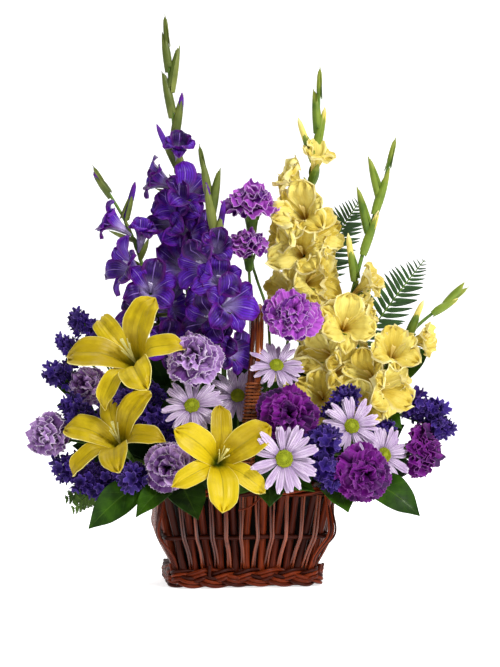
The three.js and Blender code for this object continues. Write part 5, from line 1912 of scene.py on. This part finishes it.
def leaflet(width: float, curve: float, rows: int = 6, columns: int = 3) -> Shape:
    """A leaflet of length 1 along +Z whose face is +Y.

    Args:
        width: its half width.
        curve: how far its tip bends.
        rows: how many rows of points it has.
        columns: how many columns.

    Returns:
        The leaflet.
    """
    along = np.linspace(0, 1, rows)
    across = np.linspace(-1, 1, columns)
    spread = eased((0, 0.12, 0.4, 0.8, 1), (0.5, 1.0, 0.95, 0.5, 0.06))(along) * width
    x = spread[:, None] * across[None, :] + (curve * along**2)[:, None]
    y = -0.28 * np.abs(x - (curve * along**2)[:, None]) - (0.12 * along**2)[:, None]
    z = np.broadcast_to(along[:, None], x.shape)
    shape = Shape()
    grow_shell(shape, np.stack([x, y, z], -1)[:, ::-1], 0.035, 0.5)
    return shape


@dataclass
class FernFrond:
    """A sword fern frond: an arching rib with leaflets both ways, shorter towards the tip."""

    name: str
    route: tuple[Point, ...]
    begins: float
    reach: float
    side: Point
    pairs: int = 23

    def build(self, bench: Bench) -> None:
        """Makes the rib and the leaflets."""
        curve = Route(self.route)
        first = curve.tangent(0)
        stalk = np.concatenate([[curve.at(0) - first * FOAM_STEM_DEPTH], curve.sample(26)])
        radii = np.concatenate([np.full(8, 1.7), np.linspace(1.6, 0.6, len(stalk) - 8)])
        bench.rods(self.name + "_rib", [Line(stalk, radii)], STEM_GREEN, self.name, sides=6)
        across = unit(vec(self.side))
        spots = []
        for k in range(self.pairs):
            share = (k + 0.5) / self.pairs
            at_share = self.begins + share * (1 - self.begins)
            along = curve.tangent(at_share)
            swell = math.sin(math.pi * (0.16 + share * 0.84)) ** 0.75
            length = self.reach * swell * (1 - share * 0.35) + 2
            for sign in (1, -1):
                direction = unit(across * sign + along * (0.42 + 0.25 * share))
                face = np.cross(direction, along) * -sign
                face = face if face[1] < 0 else -face
                spots.append(Spot(curve.at(at_share), direction, face, length * 1.05))
        item = bench.item(self.name + "_leaflet", leaflet(0.085, 0.1))
        bench.scatter(self.name + "_leaflets", spots, item, FERN_GREEN, self.name, size_spread=0.06,
                      twist_spread=0.3, tilt_spread=0.07)


@dataclass
class Leatherleaf:
    """Leatherleaf: arching fronds on one stalk, each leaflet cut again into small lobes."""

    name: str
    seat: Point
    fork: Point
    fronds: tuple[tuple[Point, float], ...]
    pairs: int = 9
    lobes: int = 6

    def build(self, bench: Bench) -> None:
        """Makes the ribs and the lobes."""
        middle = vec(self.fork)
        trunk = stem_route(self.seat, middle, unit(middle - vec(self.seat)), count=8)
        lines = [Line.even(trunk, 1.5)]
        spots = []
        for tip, reach in self.fronds:
            end = vec(tip)
            half = middle + (end - middle) * 0.5 + [0, 0, 8]
            curve = Route((tuple(middle), tuple(half), tuple(end)))
            lines.append(Line(curve.sample(12), np.linspace(1.2, 0.5, 12)))
            across = unit(np.cross(end - middle, [0, 1, 0.3]))
            for k in range(self.pairs):
                share = (k + 0.6) / self.pairs
                along = curve.tangent(share)
                length = reach * math.sin(math.pi * (0.2 + share * 0.78)) ** 0.7 + 2
                for sign in (1, -1):
                    direction = unit(across * sign + along * 0.55)
                    face = np.cross(direction, along)
                    face = face if face[1] < 0 else -face
                    start = curve.at(share)
                    lines.append(Line(np.array([start, start + direction * length * 0.9]),
                                      np.array([0.6, 0.3]), 0.4))
                    for n in range(self.lobes):
                        place = (n + 0.5) / self.lobes
                        lobe = length * 0.52 * (1 - place * 0.6)
                        for turn in (1, -1):
                            out = unit(np.cross(face, direction) * turn + direction * 0.8)
                            spots.append(Spot(start + direction * length * place, out, face, lobe))
                    spots.append(Spot(start + direction * length * 0.85, direction, face, length * 0.22))
        item = bench.item(self.name + "_lobe", leaflet(0.3, 0.08, 4, 3))
        bench.scatter(self.name + "_lobes", spots, item, LEATHERLEAF_GREEN, self.name, size_spread=0.12,
                      twist_spread=0.3, tilt_spread=0.12)
        bench.rods(self.name + "_ribs", lines, STEM_GREEN, self.name, sides=5)


@dataclass(frozen=True)
class Leaf:
    """A broad leaf from its stalk to its tip; tilt is how far its face turns to the viewer, in degrees."""

    base: Point
    tip: Point
    width: float
    tilt: float


def grow_leaf(shape: Shape, leaf: Leaf, random: Draws) -> Array:
    """Adds a slightly wavy leaf, folded along its midrib, and gives the point where its stalk joins."""
    start, end = vec(leaf.base), vec(leaf.tip)
    run = end - start
    tilt = math.radians(leaf.tilt)
    across = unit(np.cross(run, [0, -math.sin(tilt), math.cos(tilt)]))
    up = unit(np.cross(across, run))
    share = np.linspace(0, 1, 19)
    arch = np.sin(math.pi * share)[:, None]
    bow = up * np.linalg.norm(run) * 0.09 + across * random.uniform(-2, 2)
    line = start + run * share[:, None] + bow * arch
    columns = np.linspace(-1, 1, 13)
    half = leaf.width * eased(
        (0, 0.06, 0.22, 0.45, 0.7, 0.88, 0.96, 1), (0.1, 0.36, 0.84, 1.0, 0.78, 0.34, 0.12, 0.02)
    )(share)
    fold = 0.2 * np.abs(columns) ** 1.4
    wave = 1.2 * np.sin(share * 13 + random.uniform(0, 6))[:, None] * np.abs(columns)[None, :] ** 2
    ribs = 0.5 * np.cos((share[:, None] - np.abs(columns)[None, :] * 0.24) * 2 * math.pi * 6)
    ribs = ribs * arch * (1 - np.abs(columns)[None, :])
    rise = fold[None, :] * half[:, None] + wave * (half / leaf.width)[:, None] + ribs
    grid = line[:, None] + across * (half[:, None] * columns[None, :])[..., None] + up * rise[..., None]
    grow_shell(shape, grid[:, ::-1], 0.9, random.random())
    return line[1]


@dataclass
class TuckedLeaves:
    """A fan of leaves between the stems, darkened with painted shade, which closes the arrangement behind its
    blooms.

    Attributes:
        node: the CAD node that they belong to.
        depth: how far back the fan stands.
        side: -1 where it faces the viewer and 1 where it faces the back.
        rows: (distance from the foam, number of leaves, from and to how many degrees round).
    """

    name: str
    node: str
    depth: float
    side: int
    rows: tuple[tuple[float, int, float, float], ...]

    def build(self, bench: Bench) -> None:
        """Makes the leaves and their stalks."""
        random = seeded(self.name)
        shape = Shape()
        lines = []
        for row, (reach, count, first, last) in enumerate(self.rows):
            for k in range(count):
                turn = math.radians(first + (last - first) * (k + 0.5 + random.uniform(-0.25, 0.25)) / count)
                out = np.array([math.sin(turn), 0.0, math.cos(turn)])
                centre = np.array([4, self.depth + random.uniform(-9, 9), 132]) + out * [reach, 0,
                                                                                         reach * 0.8]
                centre[1] -= self.side * 10 * row
                half = random.uniform(32, 40)
                lean = np.array([0, random.uniform(-0.1, 0.25) * self.side, random.uniform(-0.2, 0.2)])
                leaf = Leaf(centre - (out + lean) * half, centre + (out + lean) * half,
                            random.uniform(17, 23),
                            -self.side * random.uniform(55, 85))
                base = grow_leaf(shape, leaf, random)
                foot = np.array([base[0] * 0.3, self.depth * 0.4, 146])
                lines.append(Line.even(bezier(foot, foot + [0, 0, 14], base - out * 12, base, 5), 1.1, 0.3))
        bench.keep(self.name + "_leaves", shape.mesh(self.name), SHADED_TUCKED_LEAF, self.node)
        bench.rods(self.name + "_stalks", lines, STEM_GREEN, self.node, sides=5)


@dataclass
class LeafyStem:
    """A woody stalk with broad, glossy, pointed leaves."""

    name: str
    seat: Point
    spine: tuple[Point, ...]
    leaves: tuple[Leaf, ...]

    def build(self, bench: Bench) -> None:
        """Makes the stalk and the leaves."""
        random = seeded(self.name)
        through = vec(self.spine)
        trunk = stem_route(self.seat, through[0], unit(through[0] - vec(self.seat)), count=6)
        stalk = np.concatenate([trunk, through[1:]])
        lines = [Line.even(stalk, 1.7, 0.3)]
        shape = Shape()
        for leaf in self.leaves:
            base = grow_leaf(shape, leaf, random)
            nearest = stalk[np.argmin(np.linalg.norm(stalk - base, axis=1))]
            lines.append(Line(np.array([nearest, (nearest + base) / 2, base]), np.array([1.3, 1.2, 1.0]),
                              0.4))
        bench.keep(self.name + "_leaves", shape.mesh(self.name), SALAL_LEAF, self.name)
        bench.rods(self.name + "_stalk", lines, STEM_GREEN, self.name, sides=7)


# The studio


@dataclass
class Studio:
    """The pale floor with its curved backdrop, the soft lights and the camera."""

    target: Point = (11.3, -0.65, 331.7)
    azimuth: float = -7.0
    distance: float = 2600.0
    field_high: float = 19.5
    floor_reach: float = 9.0
    wall: float = 4.5

    def backdrop(self, bench: Bench) -> None:
        """A floor that curves up behind the object."""
        turn = np.linspace(0, math.pi / 2, 24)
        profile = [(-self.floor_reach, 0.0), (self.wall - 2.0, 0.0)]
        profile += [(self.wall - 2.0 + 2.0 * math.sin(t), 2.0 - 2.0 * math.cos(t)) for t in turn[1:]]
        profile.append((self.wall, self.floor_reach))
        points = [(x, y, z) for y, z in profile for x in (-self.floor_reach, self.floor_reach)]
        faces = [(2 * i, 2 * i + 1, 2 * i + 3, 2 * i + 2) for i in range(len(profile) - 1)]
        mesh = bpy.data.meshes.new("backdrop")
        mesh.from_pydata(points, [], faces)
        mesh.materials.append(bench.paint(STUDIO_WHITE))
        mesh.polygons.foreach_set("use_smooth", [True] * len(faces))
        floor = bpy.data.objects.new("backdrop", mesh)
        bpy.context.scene.collection.objects.link(floor)

    def light(self, name: str, at: Point, size: float, power: float, colour: Point = (1, 1, 1)) -> None:
        """A square soft light that points at the object's middle."""
        lamp = bpy.data.lights.new(name, "AREA")
        lamp.shape = "SQUARE"
        lamp.size = size
        lamp.energy = power
        lamp.color = tuple(colour)
        holder = bpy.data.objects.new(name, lamp)
        holder.location = Vector(at)
        aim = Vector((0, 0, 0.3)) - holder.location
        holder.rotation_euler = aim.to_track_quat("-Z", "Y").to_euler()
        bpy.context.scene.collection.objects.link(holder)

    def camera(self) -> None:
        """The camera at the photograph's angle."""
        lens = bpy.data.cameras.new("camera")
        lens.sensor_width = 36.0
        lens.sensor_fit = "AUTO"
        lens.lens = 36.0 / 2 / math.tan(math.radians(self.field_high) / 2)
        holder = bpy.data.objects.new("camera", lens)
        turn = math.radians(self.azimuth)
        away = np.array([math.sin(turn), -math.cos(turn), 0.0])
        holder.location = Vector((np.asarray(self.target) + away * self.distance) * MM)
        holder.rotation_euler = (math.pi / 2, 0.0, turn)
        bpy.context.scene.collection.objects.link(holder)
        bpy.context.scene.camera = holder

    def build(self, bench: Bench) -> None:
        """Sets the studio up."""
        self.backdrop(bench)
        self.light("key", (1.5, -2.2, 2.2), 0.7, 88)
        self.light("fill", (-2.4, -2.0, 1.0), 1.6, 8)
        self.light("top", (0.0, 0.3, 2.6), 1.2, 26)
        self.light("rim", (0.8, 2.2, 1.6), 1.4, 14)
        world = bpy.data.worlds.new("studio")
        world.use_nodes = True
        sky = world.node_tree.nodes["Background"]
        sky.inputs["Color"].default_value = (1, 1, 1, 1)
        sky.inputs["Strength"].default_value = 0.12
        bpy.context.scene.world = world
        bpy.context.scene.view_settings.view_transform = "Standard"
        self.camera()


# The plan


LILIES = {
    "lily_upper": Bloom((-144, -54, 292), -34, 30, (-72, -6, 156), 0.97, -43),
    "lily_lower": Bloom((-165, -73, 187), -32, 36, (-88, -26, 146), 0.86, -22),
    "lily_front": Bloom((-45, -128, 168), 3, 15, (-34, -52, 146), 0.86, 4),
}

CARNATIONS = {
    "carnation_top": (Bloom((13, -2, 505), -10, 70, (22, 6, 156), 1.0, via=(37, -3, 345)), VIOLET_PETAL),
    "carnation_second": (Bloom((7, -20, 447), -10, 70, (-6, -10, 156), 0.8, via=(-7, -15, 340)),
                         VIOLET_PETAL),
    "carnation_centre": (Bloom((58, -74, 353), 0, 35, (40, -18, 156)), VIOLET_PETAL),
    "carnation_lilac_upper": (Bloom((-72, -98, 299), -12, 28, (-50, -20, 156), 0.98), LILAC_PETAL),
    "carnation_lilac_back": (Bloom((-203, -3, 261), -35, 20, (-84, 22, 146), 0.8), LILAC_PETAL),
    "carnation_lilac_left": (Bloom((-256, -22, 197), -48, 10, (-90, 2, 146), 0.86), LILAC_PETAL),
    "carnation_lilac_low": (Bloom((-106, -112, 161), -16, 2, (-62, -52, 144), 0.86), LILAC_PETAL),
    "carnation_plum_centre": (Bloom((44, -120, 225), 2, 18, (30, -47, 152), 1.1), PLUM_PETAL),
    "carnation_plum_low": (Bloom((140, -136, 153), 10, 0, (62, -52, 144), 0.96), PLUM_PETAL),
    "carnation_plum_right": (Bloom((232, -52, 176), 58, 4, (90, -22, 146)), PLUM_PETAL),
}

DAISY_SPRAYS = {
    "daisy_spray_left": (
        (-14, -34, 156),
        (-10, -46, 198),
        {
            "daisy_left": Bloom((-76, -104, 239), -12, 25, (0, 0, 0), 0.96),
            "daisy_behind_handle": Bloom((-11, -50, 250), -8, 22, (0, 0, 0), 0.9),
            "daisy_upper": Bloom((36, -82, 290), 0, 36, (0, 0, 0), 0.9),
        },
    ),
    "daisy_spray_right": (
        (72, -47, 152),
        (90, -78, 176),
        {
            "daisy_front": Bloom((35, -161, 174), 0, 5, (0, 0, 0), 1.08),
            "daisy_right": Bloom((130, -111, 212), 5, 18, (0, 0, 0), 0.96),
            "daisy_far_right": Bloom((176, -90, 173), 24, 8, (0, 0, 0), 0.96),
        },
    ),
}

GLADIOLI = (
    Gladiolus(
        "gladiolus_purple_left", Slot.PURPLE,
        ((-60, 18, 156), (-91, 10, 265), (-120, 5, 379), (-150, 3, 470), (-188, 2, 536)),
        ((318, 8, 2, 0.9, 1), (350, -58, 12, 0.95, 1), (384, -6, 14, 0.95, 1), (410, -66, 20, 0.95, 1),
         (438, 20, 66, 0.8, 0.35), (462, -84, 34, 0.9, 0.5), (364, 62, 10, 0.85, 1)),
        ((484, 50, 70), (516, -90, 54)),
    ),
    Gladiolus(
        "gladiolus_purple_tall", Slot.PURPLE,
        ((-40, 36, 156), (-57, 46, 268), (-67, 50, 376), (-77, 48, 508), (-91, 46, 653), (-98, 44, 742)),
        ((342, 10, 5, 0.9, 1), (380, 34, 8, 0.95, 1), (418, -20, 12, 1, 1), (452, 38, 14, 0.95, 1),
         (476, -44, 18, 0.95, 1), (508, 14, 28, 0.95, 1), (526, -84, 26, 0.95, 0.6), (556, 0, 56, 0.85, 0.4),
         (362, -60, 8, 0.85, 1), (434, 78, 14, 0.8, 1), (462, 4, 12, 0.85, 1), (492, -14, 20, 0.85, 1)),
        ((560, -80, 62), (600, 70, 80), (628, -90, 78), (662, 80, 80), (690, -90, 82)),
    ),
    Gladiolus(
        "gladiolus_purple_right", Slot.PURPLE,
        ((-28, -14, 156), (-27, -32, 273), (-32, -46, 345), (-36, -44, 410), (-44, -34, 492),
         (-56, -30, 560)),
        ((322, -22, 0, 0.8, 1), (346, -44, 4, 0.9, 1), (368, 16, 6, 1, 1), (414, -56, 10, 0.95, 1),
         (432, -6, 24, 0.8, 0.6), (308, 28, 0, 0.8, 1), (396, -8, 10, 0.85, 1)),
        ((446, 84, 80), (472, -80, 80), (492, 70, 80), (512, -90, 80)),
    ),
    Gladiolus(
        "gladiolus_yellow_left", Slot.YELLOW,
        ((42, 30, 156), (78, 26, 242), (85, 24, 376), (93, 20, 496), (105, 14, 601), (107, 10, 670)),
        ((346, 14, 6, 0.95, 1), (386, -62, 0, 0.85, 0.9), (398, 22, 12, 0.95, 1), (436, -22, 10, 1, 1),
         (484, -24, 20, 1, 1), (520, -84, 40, 0.9, 0.5), (540, 20, 62, 0.85, 0.4), (456, -66, 14, 0.9, 1),
         (370, 66, 8, 0.85, 1), (424, 66, 10, 0.85, 1), (458, 44, 16, 0.85, 1),
         (276, -4, -16, 1.15, 1), (306, 30, 0, 1, 1)),
        ((566, -70, 66), (580, 84, 78), (606, -86, 86)),
    ),
    Gladiolus(
        "gladiolus_yellow_middle", Slot.YELLOW,
        ((60, 8, 156), (98, -14, 216), (132, -26, 337), (164, -22, 450), (187, -16, 522), (202, -12, 575)),
        ((244, -18, 8, 0.95, 1), (280, 26, 4, 0.9, 1), (334, 4, 18, 1, 1), (382, 60, 38, 0.8, 0.45),
         (324, 80, 12, 0.8, 0.9), (302, -46, 6, 0.85, 1), (352, 72, 24, 0.8, 0.8)),
        ((404, -80, 80), (440, 80, 70), (468, -70, 74), (494, 86, 72), (516, -80, 74)),
    ),
    Gladiolus(
        "gladiolus_yellow_right", Slot.YELLOW,
        ((76, -10, 156), (130, -34, 205), (182, -44, 279), (228, -42, 339), (284, -38, 381)),
        ((256, 34, 4, 1, 1), (292, 6, 34, 0.9, 0.9), (318, 62, 10, 0.8, 0.45), (234, -12, 8, 0.9, 1),
         (276, 78, 8, 0.75, 0.9), (270, -40, 14, 0.85, 1)),
        ((330, 40, 62), (360, 84, 30), (372, 70, 48)),
    ),
)

STATICE = (
    StaticeSpray("statice_left", (-80, 40, 146), (-162, 34, 262),
                 ((-216, 24, 350, 11), (-196, 27, 338, 10), (-236, 22, 320, 9), (-248, 18, 280, 13))),
    StaticeSpray("statice_low_left", (-90, -10, 140), (-170, -44, 152),
                 ((-234, -44, 158, 15), (-214, -64, 142, 13), (-190, -70, 133, 15), (-152, -106, 147, 14),
                  (-226, -30, 236, 13), (-176, -34, 238, 13), (-122, -88, 138, 13))),
    StaticeSpray("statice_centre_left", (-42, -42, 156), (-98, -62, 208),
                 ((-158, -62, 246, 13), (-126, -79, 222, 14), (-106, -92, 208, 15), (-128, -60, 258, 11))),
    StaticeSpray("statice_front_right", (47, -47, 154), (82, -92, 196),
                 ((90, -142, 192, 16), (84, -136, 166, 15), (130, -84, 250, 12), (112, -88, 232, 10),
                  (98, -132, 146, 12), (178, -66, 204, 12))),
    StaticeSpray("statice_far_right", (90, 2, 146), (212, -18, 222),
                 ((228, -40, 243, 13), (256, -34, 227, 13), (268, -34, 205, 12))),
)

FERNS = (
    FernFrond("fern_upper", ((58, 40, 156), (84, 44, 280), (110, 46, 400), (140, 42, 470), (169, 36, 516)),
              0.42, 40, (-58, -10, 36)),
    FernFrond("fern_right", ((78, 36, 156), (124, 34, 240), (166, 26, 314), (215, 18, 384), (252, 10, 432)),
              0.4, 42, (-64, -12, 40)),
)

LEATHERLEAF = Leatherleaf("leatherleaf", (-88, 16, 138), (-180, -34, 126),
                          (((-236, -56, 116), 15), ((-228, -74, 104), 16)))

LEAFY_STEMS = (
    LeafyStem("salal_left", (-78, -52, 140), ((-106, -80, 143), (-134, -88, 146)), (
        Leaf((-134, -90, 146), (-208, -92, 82), 22, 70),
        Leaf((-98, -82, 140), (-150, -134, 100), 18, 35),
        Leaf((-92, -78, 142), (-72, -142, 97), 25, 55),
        Leaf((-192, 30, 240), (-258, 22, 282), 18, 78),
        Leaf((-196, 24, 226), (-246, 16, 236), 17, 70),
    )),
    LeafyStem("salal_front", (16, -53, 142), ((24, -80, 141), (26, -94, 139)), (
        Leaf((25, -90, 140), (18, -152, 113), 20, 40),
        Leaf((28, -90, 140), (78, -134, 130), 18, 40),
        Leaf((22, -90, 140), (-36, -128, 126), 18, 40),
    )),
    LeafyStem("salal_right", (76, -52, 140), ((110, -78, 142), (146, -84, 144)), (
        Leaf((148, -88, 144), (218, -118, 96), 24, 60),
        Leaf((106, -80, 142), (120, -142, 104), 23, 50),
        Leaf((152, -80, 145), (202, -60, 130), 20, 25),
    )),
    LeafyStem("salal_upper_right", (88, 12, 150), ((156, 6, 222), (192, 0, 262)), (
        Leaf((194, -4, 264), (252, -26, 312), 18, 65),
        Leaf((160, -20, 246), (206, -62, 206), 20, 70),
        Leaf((150, -14, 232), (172, -70, 178), 20, 75),
    )),
    LeafyStem("salal_back", (22, 50, 154), ((31, 80, 162), (29, 90, 206)), (
        Leaf((29, 90, 204), (16, 98, 296), 24, -80),
        Leaf((24, 88, 180), (-78, 100, 192), 25, -70),
        Leaf((35, 86, 176), (118, 92, 202), 25, -65),
        Leaf((26, 84, 166), (-28, 124, 126), 24, -35),
        Leaf((36, 84, 166), (86, 118, 120), 24, -35),
    )),
)


TUCKED = (
    TuckedLeaves("tucked_front", "salal_front", -22, -1,
                 ((72, 8, -82, 82), (118, 11, -86, 86), (160, 13, -84, 82), (204, 7, -88, -46),
                  (198, 3, 64, 88),
                  (214, 3, -46, -20), (176, 4, -62, -30))),
    TuckedLeaves("tucked_back", "salal_back", 34, 1,
                 ((66, 7, -84, 84), (112, 10, -86, 86), (154, 9, -84, 80))),
)


def main() -> None:
    """Builds the studio, the holder, the flowers and the greenery."""
    logging.basicConfig(level=logging.INFO, format="%(name)s %(message)s")
    bench = Bench()
    Studio().build(bench)
    Basket().build(bench)
    HoopHandle().build(bench)
    for name, bloom in LILIES.items():
        Lily(name, bloom).build(bench)
    for name, (bloom, finish) in CARNATIONS.items():
        Carnation(name, bloom, finish).build(bench)
    for name, (seat, fork, heads) in DAISY_SPRAYS.items():
        DaisySpray(name, seat, fork, heads).build(bench)
    for grown in (*GLADIOLI, *STATICE, *FERNS, LEATHERLEAF, *LEAFY_STEMS, *TUCKED):
        grown.build(bench)
    bench.clear()


if __name__ == "__main__":
    main()
